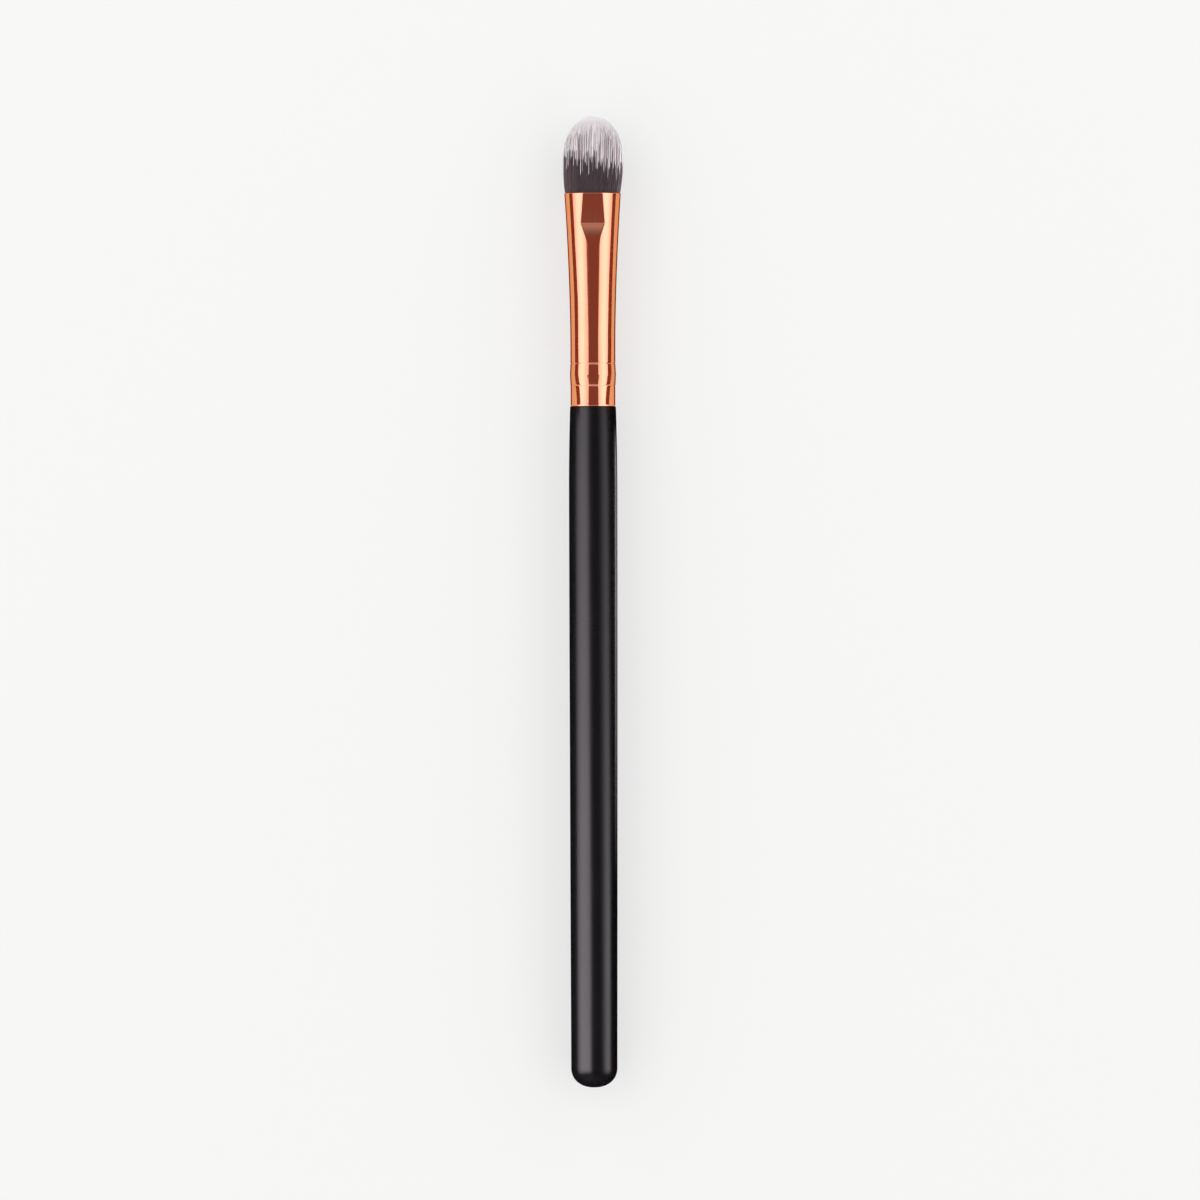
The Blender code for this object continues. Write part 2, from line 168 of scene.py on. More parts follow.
# Stations of one filament: two in the ferrule and one over its mouth, then shares of its free length
FIXED_STATIONS = (-FILAMENT_START, -0.0003, 0.00025)
FREE_SHARES = (0.1, 0.26, 0.46, 0.68, 0.9, 1.0)
FILAMENT_STATIONS = len(FIXED_STATIONS) + len(FREE_SHARES)

# Half width and half thickness of the free tuft at heights above the mouth
TUFT_SECTIONS = (
    (0.0009, 0.00508, 0.00455),
    (0.0023, 0.00523, 0.0046),
    (FULLEST_HEIGHT, TUFT_HALF_WIDTH, TUFT_HALF_THICKNESS),
    (0.0138, TUFT_HALF_WIDTH, TIP_HALF_THICKNESS),
)


def deselect_everything():
    if bpy.context.mode != "OBJECT":
        bpy.ops.object.mode_set(mode="OBJECT")
    bpy.ops.object.select_all(action="DESELECT")


def take_new_piece(name):
    """Names the object that a primitive has just added."""
    piece = bpy.context.object
    piece.name = name
    piece.data.name = name
    return piece


def select_faces(piece, wanted):
    """Enters edit mode with only the faces selected that pass a test."""
    bpy.ops.object.mode_set(mode="OBJECT")
    bpy.context.tool_settings.mesh_select_mode = (False, False, True)
    for parts in (piece.data.vertices, piece.data.edges, piece.data.polygons):
        parts.foreach_set("select", [False] * len(parts))
    for face in piece.data.polygons:
        face.select = wanted(face)
    bpy.ops.object.mode_set(mode="EDIT")


def extrude_along_axis(profile):
    """Extrudes what is selected along the brush's axis, from one (height, radius) to the next."""
    for (height, radius), (next_height, next_radius) in zip(profile, profile[1:]):
        bpy.ops.mesh.extrude_region_move(TRANSFORM_OT_translate={"value": (0, next_height - height, 0)})
        share = next_radius / radius
        bpy.ops.transform.resize(
            value=(share, 1, share), center_override=(0, next_height, AXIS_HEIGHT)
        )


def apply_place(piece):
    """Leaves edit mode and puts the piece's place into its mesh."""
    bpy.ops.object.mode_set(mode="OBJECT")
    bpy.ops.object.transform_apply(location=True, rotation=True, scale=True)
    return piece


def finish_mesh(piece, sharp_angle):
    """Puts the piece's place into its mesh and shades it smooth between sharp edges."""
    apply_place(piece)
    bpy.ops.object.shade_smooth_by_angle(angle=math.radians(sharp_angle))
    return piece


def add_ring(name, sides, height, fill, turn):
    """Adds a ring of the tube's radius at a height, and enters edit mode with all of it selected."""
    deselect_everything()
    bpy.ops.mesh.primitive_circle_add(
        vertices=sides,
        radius=TUBE_RADIUS,
        fill_type=fill,
        location=(0, height, AXIS_HEIGHT),
        rotation=(turn, 0, 0),
    )
    ring = take_new_piece(name)
    bpy.ops.object.mode_set(mode="EDIT")
    bpy.ops.mesh.select_mode(type="EDGE")
    bpy.ops.mesh.select_all(action="SELECT")
    return ring


def close_open_edges(piece, operator):
    """Closes the open edges with an operator, and turns all faces outwards."""
    bpy.ops.mesh.select_mode(type="EDGE")
    bpy.ops.mesh.select_all(action="DESELECT")
    bpy.ops.mesh.select_non_manifold()
    operator()
    bpy.ops.mesh.select_all(action="SELECT")
    bpy.ops.mesh.normals_make_consistent(inside=False)
    apply_place(piece)


def seat(piece, material, slot_name, *nodes):
    """Gives a piece its finish and its body, and hides the nodes that it stands for. The slot name is not
    used.
    """
    piece.data.materials.clear()
    piece.data.materials.append(material)
    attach(piece, "root")
    if nodes:
        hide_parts(*nodes)


def connect(tree, value, socket):
    """Links an output to a socket, or sets the socket to a constant."""
    if isinstance(value, bpy.types.NodeSocket):
        tree.links.new(value, socket)
    else:
        socket.default_value = value


def add_node(tree, kind, inputs=None, **properties):
    """Adds a shader node, sets its properties, and links or sets its inputs."""
    node = tree.nodes.new("ShaderNode" + kind)
    for name, value in properties.items():
        setattr(node, name, value)
    for name, value in (inputs or {}).items():
        connect(tree, value, node.inputs[name])
    return node


def calculate(tree, operation, first, second=0.0, clamp=False):
    node = add_node(tree, "Math", {0: first, 1: second}, operation=operation, use_clamp=clamp)
    return node.outputs["Value"]


def spread(tree, value, low, high, to_low=0.0, to_high=1.0, smooth=False):
    """Maps a value from one range to another, clamped at both ends."""
    limits = {"Value": value, "From Min": low, "From Max": high, "To Min": to_low, "To Max": to_high}
    kind = "SMOOTHSTEP" if smooth else "LINEAR"
    return add_node(tree, "MapRange", limits, interpolation_type=kind).outputs["Result"]


def times(tree, first, *others):
    """The product of values and node outputs."""
    for other in others:
        first = calculate(tree, "MULTIPLY", first, other)
    return first


def blend_colours(tree, share, first, second):
    """Mixes two colours, each of which is an output or three numbers."""
    inputs = {"Factor": share, "A": first, "B": second}
    for name in ("A", "B"):
        if not isinstance(inputs[name], bpy.types.NodeSocket):
            inputs[name] = (*inputs[name], 1.0)
    return add_node(tree, "Mix", inputs, data_type="RGBA").outputs["Result"]


def object_places(tree, scale=(1.0, 1.0, 1.0)):
    """Object coordinates in metres, stretched by a scale on each axis."""
    place = add_node(tree, "TexCoord").outputs["Object"]
    return add_node(tree, "Mapping", {"Vector": place, "Scale": scale}).outputs["Vector"]


def noise(tree, places, scale, detail=2.0, roughness=0.5):
    inputs = {"Vector": places, "Scale": scale, "Detail": detail, "Roughness": roughness}
    return add_node(tree, "TexNoise", inputs).outputs["Fac"]


def add_bump(tree, shader, height, depth):
    """Raises the surface by a height from 0 to 1, times a depth in metres."""
    bump = add_node(tree, "Bump", {"Height": height, "Distance": depth, "Strength": 1.0})
    tree.links.new(bump.outputs["Normal"], shader.inputs["Normal"])


def new_material(name, **constants):
    """A material and its shader, with the inputs set that are the same all over."""
    material = bpy.data.materials.new(name)
    material.use_nodes = True
    shader = material.node_tree.nodes["Principled BSDF"]
    for key, value in constants.items():
        shader.inputs[key.replace("_", " ")].default_value = value
    return material, material.node_tree, shader


def colour_and_roughen(tree, shader, colour, rough):
    """Links what gives a surface its colour and its roughness."""
    tree.links.new(colour, shader.inputs["Base Color"])
    tree.links.new(rough, shader.inputs["Roughness"])


def height_in_object(tree):
    """The place along the brush of each point of a surface."""
    return add_node(tree, "SeparateXYZ", {"Vector": object_places(tree)}).outputs["Y"]


def grained_material(name, stretch, grain, colours, rough, depth, **constants):
    """A material whose colour, roughness and relief all follow one noise, stretched on each axis. Its first
    colour lies in the relief's hollows, as painted shade.
    """
    material, tree, shader = new_material(name, **constants)
    share = noise(tree, object_places(tree, stretch), **grain)
    colour_and_roughen(tree, shader, blend_colours(tree, share, *colours), spread(tree, share, *rough))
    add_bump(tree, shader, share, depth)
    return material


def satin_lacquer(settings):
    """Black lacquer with a faint orange peel, and bare wood on the tenon, where no lacquer goes."""
    material, tree, shader = new_material("satin_black_lacquer")
    places = object_places(tree)
    cloud = noise(tree, places, scale=90.0, detail=3.0)
    lacquer = blend_colours(tree, cloud, settings.lacquer_colour, settings.lacquer_worn_colour)
    grain = noise(tree, object_places(tree, (1.0, 0.06, 1.0)), scale=2600.0, detail=4.0, roughness=0.6)
    wood = blend_colours(tree, grain, settings.wood_dark, settings.wood_light)
    bare = spread(tree, height_in_object(tree), LACQUER_END, BARE_WOOD_START)
    rubbed = noise(tree, object_places(tree, (1.0, 0.25, 1.0)), scale=260.0, detail=5.0, roughness=0.65)
    uneven, wood_roughness = 0.03, 0.7
    gloss = settings.lacquer_gloss
    satin = spread(tree, rubbed, 0.3, 0.7, to_low=gloss - uneven, to_high=gloss + uneven)
    rough = calculate(tree, "MAXIMUM", satin, times(tree, bare, wood_roughness))
    colour_and_roughen(tree, shader, blend_colours(tree, bare, lacquer, wood), rough)
    add_bump(tree, shader, noise(tree, places, scale=700.0), depth=0.0000035)
    return material


def rose_gold_plate(settings):
    """Polished rose gold with the faint lines that drawing the tube leaves along it."""
    edge_tint = (0.95, 0.55, 0.36, 1.0)
    material, tree, shader = new_material("rose_gold_plate", Metallic=1.0, Specular_Tint=edge_tint)
    lines = noise(tree, object_places(tree, (1.0, 0.02, 1.0)), scale=7000.0, detail=3.0, roughness=0.6)
    cloud = noise(tree, object_places(tree), scale=220.0, detail=3.0)
    tint = spread(tree, cloud, 0.3, 0.7)
    plate = blend_colours(tree, tint, settings.plate_colour, settings.plate_deep_colour)
    polish = settings.plate_roughness
    rough = spread(tree, lines, 0.25, 0.75, to_low=polish - 0.025, to_high=polish + 0.035)
    height = height_in_object(tree)
    for crimp in (LOWER_CRIMP, UPPER_CRIMP):
        away = calculate(tree, "ABSOLUTE", calculate(tree, "SUBTRACT", height, FERRULE_START + crimp))
        satin = spread(tree, away, *CRIMP_LINE_SOFTNESS, settings.crimp_roughness, 0.0)
        rough = calculate(tree, "MAXIMUM", rough, satin)
    colour_and_roughen(tree, shader, plate, rough)
    add_bump(tree, shader, lines, depth=0.0000006)
    return material


def dyed_filament(settings):
    """Filament that turns from dark to white along its length.

    The map's columns hold a filament's dye height and tone, and its other axis the height. The tone's dark
    end is painted shade between clumps, which fades out towards the tips.
    """
    sheen = {"Sheen_Weight": 0.08, "Sheen_Roughness": 0.4}
    material, tree, shader = new_material("dyed_filament", Roughness=0.45, **sheen)
    across_map = add_node(tree, "UVMap", uv_map=BAKED_MAP).outputs["UV"]
    parts = add_node(tree, "SeparateXYZ", {"Vector": across_map})
    column = calculate(tree, "FLOOR", times(tree, parts.outputs["X"], UV_COLUMNS))
    dye_step = calculate(tree, "FLOOR", calculate(tree, "DIVIDE", column, UV_TONE_STEPS))
    tone_step = calculate(tree, "MODULO", column, UV_TONE_STEPS)
    height = spread(tree, parts.outputs["Y"], 0.0, 1.0, -FILAMENT_START, TUFT_TIP - MOUTH)
    dye_height = spread(tree, dye_step, 0.0, UV_DYE_STEPS - 1, settings.dye_lowest, settings.dye_highest)
    stretched = add_node(tree, "Mapping", {"Vector": across_map, "Scale": (97.0, 3.0, 1.0)})
    wander = noise(tree, stretched.outputs["Vector"], scale=1.0)
    streak = spread(tree, wander, 0.25, 0.75, -DYE_WANDER, DYE_WANDER)
    above = calculate(tree, "ADD", calculate(tree, "SUBTRACT", height, dye_height), streak)
    dyed = spread(tree, above, -settings.dye_fade / 2, settings.dye_fade / 2, smooth=True)
    tone = calculate(tree, "DIVIDE", tone_step, UV_TONE_STEPS - 1)
    unshaded_tip = spread(tree, height, *UNSHADED_TIP_RANGE, to_high=UNSHADED_TIP_TONE)
    white_tone = calculate(tree, "MAXIMUM", tone, unshaded_tip)
    white = blend_colours(tree, white_tone, settings.white_shadow, settings.white_colour)
    dark = blend_colours(tree, tone, settings.dark_shadow, settings.dark_colour)
    tree.links.new(blend_colours(tree, dyed, dark, white), shader.inputs["Base Color"])
    return material


def packed_filament(settings):
    """The filaments' glued root, seen as one dark, ribbed solid, painted darker in its grooves as shade."""
    return grained_material(
        "packed_filament",
        stretch=(1.0, 0.01, 1.0),
        grain={"scale": 9000.0},
        colours=(settings.dark_shadow, settings.dark_colour),
        rough=(0.2, 0.8, 0.4, 0.6),
        depth=0.00002,
    )


def waxed_cotton(settings):
    """Undyed thread with the fine slant of its fibres and a dull wax, painted darker between its fibres as
    shade.
    """
    return grained_material(
        "waxed_cotton",
        stretch=(1.0, 2.5, 1.0),
        grain={"scale": 9000.0, "detail": 4.0, "roughness": 0.7},
        colours=(settings.thread_shadow, settings.thread_colour),
        rough=(0.2, 0.8, 0.55, 0.85),
        depth=0.00001,
        Sheen_Weight=0.3,
    )


def cured_resin(settings):
    """Amber resin with small bubbles and a glossy, slightly wavy face."""
    depth_of_light = {"Subsurface_Weight": 0.15, "Subsurface_Scale": 0.001}
    material, tree, shader = new_material("cured_resin", Coat_Weight=0.4, **depth_of_light)
    places = object_places(tree)
    bubbles = add_node(tree, "TexVoronoi", {"Vector": places, "Scale": 2200.0}).outputs["Distance"]
    cloud = noise(tree, places, scale=900.0, detail=3.0)
    amber = blend_colours(tree, cloud, settings.resin_deep_colour, settings.resin_colour)
    bubble = spread(tree, bubbles, 0.12, 0.2, to_low=1.0, to_high=0.0)
    colour = blend_colours(tree, bubble, amber, settings.bubble_colour)
    colour_and_roughen(tree, shader, colour, spread(tree, cloud, 0.3, 0.7, to_low=0.16, to_high=0.32))
    add_bump(tree, shader, cloud, depth=0.00004)
    return material


def cured_wood_glue(settings):
    """White glue that has set with a faint skin and dimples, painted darker in its dimples as shade."""
    return grained_material(
        "cured_wood_glue",
        stretch=(1.0, 1.0, 1.0),
        grain={"scale": 1300.0, "detail": 4.0},
        colours=(settings.glue_shadow, settings.glue_colour),
        rough=(0.3, 0.7, 0.38, 0.6),
        depth=0.00005,
        Subsurface_Weight=0.2,
        Subsurface_Scale=0.0008,
    )


def handle_profile():
    """(height, radius) of the handle from just off its butt's pole to the tenon's end."""
    profile = []
    dome_steps = 22
    for step in range(1, dome_steps + 1):
        angle = math.pi / 2 * (1 - step / dome_steps)
        radius, down = superellipse_point(angle, BUTT_RADIUS, BUTT_DOME_LENGTH, BUTT_SQUARENESS)
        profile.append((BUTT + BUTT_DOME_LENGTH - down, radius))
    belly = SEAM - BELLY_FROM_SEAM
    taper_steps, neck_steps, fillet_steps = 40, 14, 6
    dome_end = BUTT + BUTT_DOME_LENGTH
    for step in range(1, taper_steps + 1):
        share = 1 - step / taper_steps
        radius = BELLY_RADIUS - (BELLY_RADIUS - BUTT_RADIUS) * share**TAPER_CURVE
        profile.append((belly - (belly - dome_end) * share, radius))
    for step in range(1, neck_steps + 1):
        share = step / neck_steps
        radius = BELLY_RADIUS - (BELLY_RADIUS - SHOULDER_RADIUS) * share**NECK_CURVE
        profile.append((belly + (SEAM - SHOULDER_FILLET - belly) * share, radius))
    for step in range(1, fillet_steps + 1):
        angle = math.pi / 2 * step / fillet_steps
        fallen = SHOULDER_FILLET * (1 - math.cos(angle))
        profile.append((SEAM - SHOULDER_FILLET * (1 - math.sin(angle)), SHOULDER_RADIUS - fallen))
    profile.append((SEAM, TENON_RADIUS))
    profile.append((TENON_END - TENON_CHAMFER, TENON_RADIUS))
    profile.append((TENON_END, TENON_RADIUS - TENON_CHAMFER))
    return profile


def model_handle(settings):
    """Turns the handle: a cone for the butt's pole, whose base is extruded along the whole profile."""
    profile = handle_profile()
    first_height, first_radius = profile[0]
    deselect_everything()
    bpy.ops.mesh.primitive_cone_add(
        vertices=settings.sides,
        radius1=first_radius,
        radius2=0.0,
        depth=first_height - BUTT,
        location=(0, (first_height + BUTT) / 2, AXIS_HEIGHT),
        rotation=(math.pi / 2, 0, 0),
    )
    handle = take_new_piece("lacquered_handle")
    select_faces(handle, lambda face: len(face.vertices) == settings.sides)
    extrude_along_axis(profile)
    return finish_mesh(handle, sharp_angle=50)


def superellipse_point(angle, half_width, half_thickness, squareness=2.0):
    """The point of an ellipse, or of a squarer curve, that an angle of 0 puts on +x."""
    power = 2 / squareness
    cos, sin = math.cos(angle), math.sin(angle)
    x = math.copysign(half_width * abs(cos) ** power, cos)
    y = math.copysign(half_thickness * abs(sin) ** power, sin)
    return x, y


def ellipse_height(x, half_width, half_thickness):
    return half_thickness * math.sqrt(1 - min(1.0, abs(x) / half_width) ** 2)


def ferrule_oval(height):
    """Half width and half thickness of the ferrule's outside, without crimps and flats."""
    run = MOUTH - FERRULE_START - FLARE_START
    share = min(1.0, max(0.0, (height - FERRULE_START - FLARE_START) / run))
    half_width = TUBE_RADIUS + (MOUTH_HALF_WIDTH - TUBE_RADIUS) * share**FLARE_POWER
    half_thickness = TUBE_RADIUS + (MOUTH_HALF_THICKNESS - TUBE_RADIUS) * share**FLARE_POWER
    return half_width, half_thickness


def flat_half_width(height):
    """Half width of the pressed flat, and of the funnel in which it runs out below its crease."""
    if height >= CREASE:
        share = (height - CREASE) / FLAT_LENGTH
        return (FLAT_WIDTH_AT_CREASE + (FLAT_WIDTH_AT_MOUTH - FLAT_WIDTH_AT_CREASE) * share) / 2
    share = min(1.0, (CREASE - height) / FUNNEL_LENGTH)
    return (FLAT_WIDTH_AT_CREASE + (FUNNEL_END_WIDTH - FLAT_WIDTH_AT_CREASE) * share) / 2


def crimp_offset(height, settings, inside):
    """How far the crimps, the barrel and the collar move the tube's wall outwards."""
    above = height - FERRULE_START
    offset = 0.0
    for crimp in (LOWER_CRIMP, UPPER_CRIMP):
        away = above - crimp
        offset -= settings.crimp_dish * math.exp(-((away / CRIMP_DISH_WIDTH) ** 2))
        if not inside:
            offset -= settings.crimp_groove * math.exp(-((away / CRIMP_GROOVE_WIDTH) ** 2))
    middle = (LOWER_CRIMP + UPPER_CRIMP) / 2
    half_span = (UPPER_CRIMP - LOWER_CRIMP) / 2
    if above < LOWER_CRIMP:
        return offset - COLLAR_DRAW_IN
    return offset + BARREL_RISE * max(0.0, 1 - abs((above - middle) / half_span) ** BARREL_CURVE)


def smaller_rounded(first, second, reach):
    """The smaller of two heights, rounded off where they meet."""
    near = max(0.0, 1 - abs(first - second) / reach)
    return min(first, second) - near * near * reach / 4


def pressed_point(height, step, inset, settings):
    """The point of the ferrule's wall at a height, this many steps round from the edge of a flat."""
    half_width, half_thickness = ferrule_oval(height)
    offset = crimp_offset(height, settings, inset > 0) - inset
    oval = (half_width + offset, half_thickness + offset)
    edge_x = flat_half_width(height)
    edge_angle = math.acos(edge_x / oval[0])
    side, within = divmod(step, ARC_STEPS + FLAT_STEPS)
    if within < ARC_STEPS:
        x, y = superellipse_point(edge_angle * (2 * within / ARC_STEPS - 1), *oval)
    else:
        x = edge_x * (1 - 2 * (within - ARC_STEPS) / FLAT_STEPS)
        y = ellipse_height(x, *oval)
    flat = ellipse_height(edge_x, *oval)
    if not inset:
        flat += settings.crease_rise * math.exp(-(((height - CREASE) / CREASE_WIDTH) ** 2))
    y = math.copysign(smaller_rounded(abs(y), flat, PRESSED_EDGE_REACH), y)
    return (x, y) if side == 0 else (-x, -y)


def bunched(middle, reach, steps):
    """Heights round a middle that stand closer the nearer they are to it."""
    shares = [step / steps for step in range(-steps, steps + 1)]
    return [middle + math.copysign(reach * abs(share) ** SECTION_BUNCHING, share) for share in shares]


def ferrule_heights():
    """Heights of the ferrule's outer sections, close together at the crimps and the crease."""
    lower = FERRULE_START + LOWER_CRIMP
    upper = FERRULE_START + UPPER_CRIMP
    heights = [SEAM + SHOULDER_GAP]
    heights += bunched(lower, CRIMP_REACH, steps=9)
    heights += bunched(upper, CRIMP_REACH, steps=9)
    heights += bunched(CREASE, CREASE_REACH, steps=7)
    funnel_start = CREASE - FUNNEL_LENGTH
    runs = (
        (heights[0], lower - CRIMP_REACH, 5),
        (lower + CRIMP_REACH, upper - CRIMP_REACH, 6),
        (upper + CRIMP_REACH, funnel_start, 18),
        (funnel_start, CREASE - CREASE_REACH, 16),
        (CREASE + CREASE_REACH, MOUTH, 10),
    )
    for low, high, steps in runs:
        heights += [low + (high - low) * step / steps for step in range(1, steps)]
    heights += [funnel_start, MOUTH]
    return sorted(heights)


def model_ferrule(settings):
    """Draws the tube out as plain rings, outside up and inside down, then presses it to its shape."""
    outside = [(height, TUBE_RADIUS) for height in ferrule_heights()]
    inside_steps = 48
    low, high = outside[0][0], outside[-1][0]
    inside = [
        (high + (low - high) * step / inside_steps, TUBE_RADIUS - WALL) for step in range(inside_steps + 1)
    ]
    ferrule = add_ring("plated_ferrule", RING_STEPS, low, "NOTHING", math.pi / 2)
    extrude_along_axis(outside + inside)
    close_open_edges(ferrule, bpy.ops.mesh.bridge_edge_loops)
    for vertex in ferrule.data.vertices:
        across, height, through = vertex.co.x, vertex.co.y, vertex.co.z - AXIS_HEIGHT
        turn = math.atan2(through, across) / math.tau % 1.0
        inset = WALL if math.hypot(across, through) < TUBE_RADIUS - WALL / 2 else 0.0
        x, y = pressed_point(height, round(turn * RING_STEPS) % RING_STEPS, inset, settings)
        vertex.co = (x, height, AXIS_HEIGHT + y)
    rims = ferrule.modifiers.new("Rims", "BEVEL")
    rims.width = settings.rim_round
    rims.segments = 3
    rims.limit_method = "ANGLE"
    rims.angle_limit = math.radians(75)
    bpy.ops.object.modifier_apply(modifier=rims.name)
    return finish_mesh(ferrule, sharp_angle=40)


def waist_depth(height):
    """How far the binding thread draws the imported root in."""
    outside = max(THREAD_LOW.y - height, height - THREAD_HIGH.y, 0.0)
    return (2 * THREAD_RADIUS + SEAT_GAP) * max(0.0, 1 - outside / WAIST_SHOULDER)


def packed_oval(height):
    """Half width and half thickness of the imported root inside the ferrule."""
    oval = ferrule_oval(height)
    inset = WALL + SEAT_GAP + waist_depth(height)
    return oval[0] - inset, ellipse_height(flat_half_width(height), *oval) - inset


def model_packed_root():
    """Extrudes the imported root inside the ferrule, drawn in where the thread binds it."""
    top = MOUTH - PACKED_ROOT_TOP
    sides, steps = 96, 30
    heights = [TUFT_ROOT + (top - TUFT_ROOT) * step / steps for step in range(steps + 1)]
    root = add_ring("packed_root", sides, heights[-1], "NGON", -math.pi / 2)
    extrude_along_axis([(height, TUBE_RADIUS) for height in reversed(heights)])
    close_open_edges(root, bpy.ops.mesh.edge_face_add)
    for vertex in root.data.vertices:
        angle = math.atan2(vertex.co.z - AXIS_HEIGHT, vertex.co.x)
        x, y = superellipse_point(angle, *packed_oval(vertex.co.y))
        vertex.co = (x, vertex.co.y, AXIS_HEIGHT + y)
    return finish_mesh(root, sharp_angle=50)


def model_filament():
    """Models one filament upright, a unit between its stations: a pointed tip on extruded rings."""
    taper = [1.0] * (FILAMENT_STATIONS - 4) + [0.96, 0.88, 0.68]
    last = FILAMENT_STATIONS - 1
    deselect_everything()
    bpy.ops.mesh.primitive_cone_add(
        vertices=3, radius1=taper[-1], radius2=0.0, depth=1.0, location=(0, 0, last - 0.5)
    )
    filament = take_new_piece("one_filament")
    select_faces(filament, lambda face: face.normal.z < -0.9)
    for station in range(last - 1, 0, -1):
        bpy.ops.mesh.extrude_region_move(TRANSFORM_OT_translate={"value": (0, 0, -1)})
        share = taper[station - 1] / taper[station]
        bpy.ops.transform.resize(value=(share, share, 1), center_override=(0, 0, station - 1))
    return finish_mesh(filament, sharp_angle=180)


def smooth_share(values, low, high):
    share = np.clip((values - low) / (high - low), 0.0, 1.0)
    return share * share * (3 - 2 * share)


def tuft_oval(above):
    """Half width and half thickness of the free tuft, at heights above the mouth."""
    mouth_flat = packed_oval(MOUTH)[1] + SEAT_GAP - STRAND_CLEARANCE
    sections = (
        (FIXED_STATIONS[1], MOUTH_HALF_WIDTH - WALL - STRAND_CLEARANCE, mouth_flat),
        (FIXED_STATIONS[2], RIM_HALF_WIDTH, mouth_flat + RIM_SWELL),
        *TUFT_SECTIONS,
    )
    stations, widths, thicknesses = zip(*sections)
    return np.interp(above, stations, widths), np.interp(above, stations, thicknesses)


def lay_filaments(settings, chance):
    """Places filaments over the tuft's section, as (how far out, angle) of the unit disc."""
    gap = settings.filament_spacing
    rows = int(2 * TUFT_HALF_THICKNESS / (gap * math.sqrt(0.75))) + 2
    columns = int(2 * TUFT_HALF_WIDTH / gap) + 2
    row, column = np.meshgrid(np.arange(rows), np.arange(columns), indexing="ij")
    x = (column - (columns - 1) / 2 + 0.5 * (row % 2)).ravel() * gap
    y = (row - (rows - 1) / 2).ravel() * gap * math.sqrt(0.75)
    x = x + chance.uniform(-0.25, 0.25, x.size) * gap
    y = y + chance.uniform(-0.25, 0.25, y.size) * gap
    across, through = x / TUFT_HALF_WIDTH, y / TUFT_HALF_THICKNESS
    out = np.hypot(across, through)
    inside = out < 1.0
    return out[inside], np.arctan2(through, across)[inside]


def disc_to_tuft(out, angle, above):
    """Where a place of the unit disc lies across the tuft at a height above the mouth."""
    half_width, half_thickness = tuft_oval(above)
    return out * half_width * np.cos(angle), out * half_thickness * np.sin(angle)


def gather_clumps(x, y, clump_count, chance):
    """Picks the clumps' head filaments, and gives each filament its nearest head and its clump."""
    heads = chance.permutation(x.size)[:clump_count]
    distance = (x[:, None] - x[heads][None, :]) ** 2 + (y[:, None] - y[heads][None, :]) ** 2
    clump = np.argmin(distance, axis=1)
    return heads[clump], clump


def filament_ends(out, angle, clump, length, settings, chance):
    """How far above the mouth each filament ends, under the tuft's dome."""
    across, through = out * np.cos(angle), out * np.sin(angle)
    room = np.sqrt(np.clip(1 - across**2, 0.0, 1.0))
    depth_share = np.clip(np.abs(through) / np.maximum(room, 0.01), 0.0, 1.0)
    dome = DOME_HEIGHT * (1 - room) + FRONT_DOME_HEIGHT * room * (1 - np.sqrt(1 - depth_share**2))
    clump_short = np.abs(chance.normal(0, settings.clump_unevenness, settings.clumps))[clump]
    own_short = np.abs(chance.normal(0, settings.tip_unevenness, out.size))
    return length - dome - np.minimum(clump_short + own_short, LARGEST_SHORTFALL)


def draw_differences(draw, clump, clump_count, shared_spread, own_spread, *columns):
    """Random differences that a clump's filaments share, plus each filament's own."""
    shared = draw(0, shared_spread, (clump_count, *columns))[clump]
    return shared + draw(0, own_spread, (clump.size, *columns))


def lay_centre_lines(out, angle, head, end, lean, length, settings):
    """Every filament's centre line, which draws towards its clump's head and leans with its clump."""
    lines = np.zeros((out.size, FILAMENT_STATIONS, 3))
    for station in range(FILAMENT_STATIONS):
        if station < len(FIXED_STATIONS):
            above = np.full(out.size, FIXED_STATIONS[station])
        else:
            share = FREE_SHARES[station - len(FIXED_STATIONS)]
            above = FIXED_STATIONS[-1] + (end - FIXED_STATIONS[-1]) * share
        own_places = disc_to_tuft(out, angle, above)
        head_places = disc_to_tuft(out[head], angle[head], above)
        pull = settings.clump_pull * smooth_share(above, GATHERING_START, length)
        sway = smooth_share(above, LEAN_START, length * LEAN_REACH)
        for axis, own, heads, leaning in zip((0, 2), own_places, head_places, lean.T):
            lines[:, station, axis] = own + (heads - own) * pull + leaning * sway
        lines[:, station, 0] += settings.tuft_lean * smooth_share(above, *TUFT_LEAN_RANGE)
        lines[:, station, 1] = MOUTH + above
    lines[:, :, 2] += AXIS_HEIGHT
    return lines


def comb_filaments(settings):
    """Works out every filament's centre line, tip height, dye height and tone, clump by clump."""
    chance = np.random.default_rng(settings.seed)
    out, angle = lay_filaments(settings, chance)
    x, y = disc_to_tuft(out, angle, np.full(out.size, FULLEST_HEIGHT))
    head, clump = gather_clumps(x, y, settings.clumps, chance)
    length = TUFT_TIP - MOUTH + settings.tip_overshoot
    end = filament_ends(out, angle, clump, length, settings, chance)
    lean_spreads = (settings.clump_lean, settings.clump_lean * OWN_LEAN_SHARE)
    lean = draw_differences(chance.normal, clump, settings.clumps, *lean_spreads, 2)
    lines = lay_centre_lines(out, angle, head, end, lean, length, settings)
    dye_spreads = (settings.clump_dye_spread, settings.own_dye_spread)
    dye = settings.dye_height + settings.dye_tilt * x
    dye += draw_differences(chance.laplace, clump, settings.clumps, *dye_spreads)
    # The tone, drawn by clump and by filament, is partly painted shade between clumps
    tone = draw_differences(chance.normal, clump, settings.clumps, CLUMP_TONE_SPREAD, OWN_TONE_SPREAD)
    return out, lines, dye, np.clip(MEAN_TONE + tone, 0.0, 1.0)


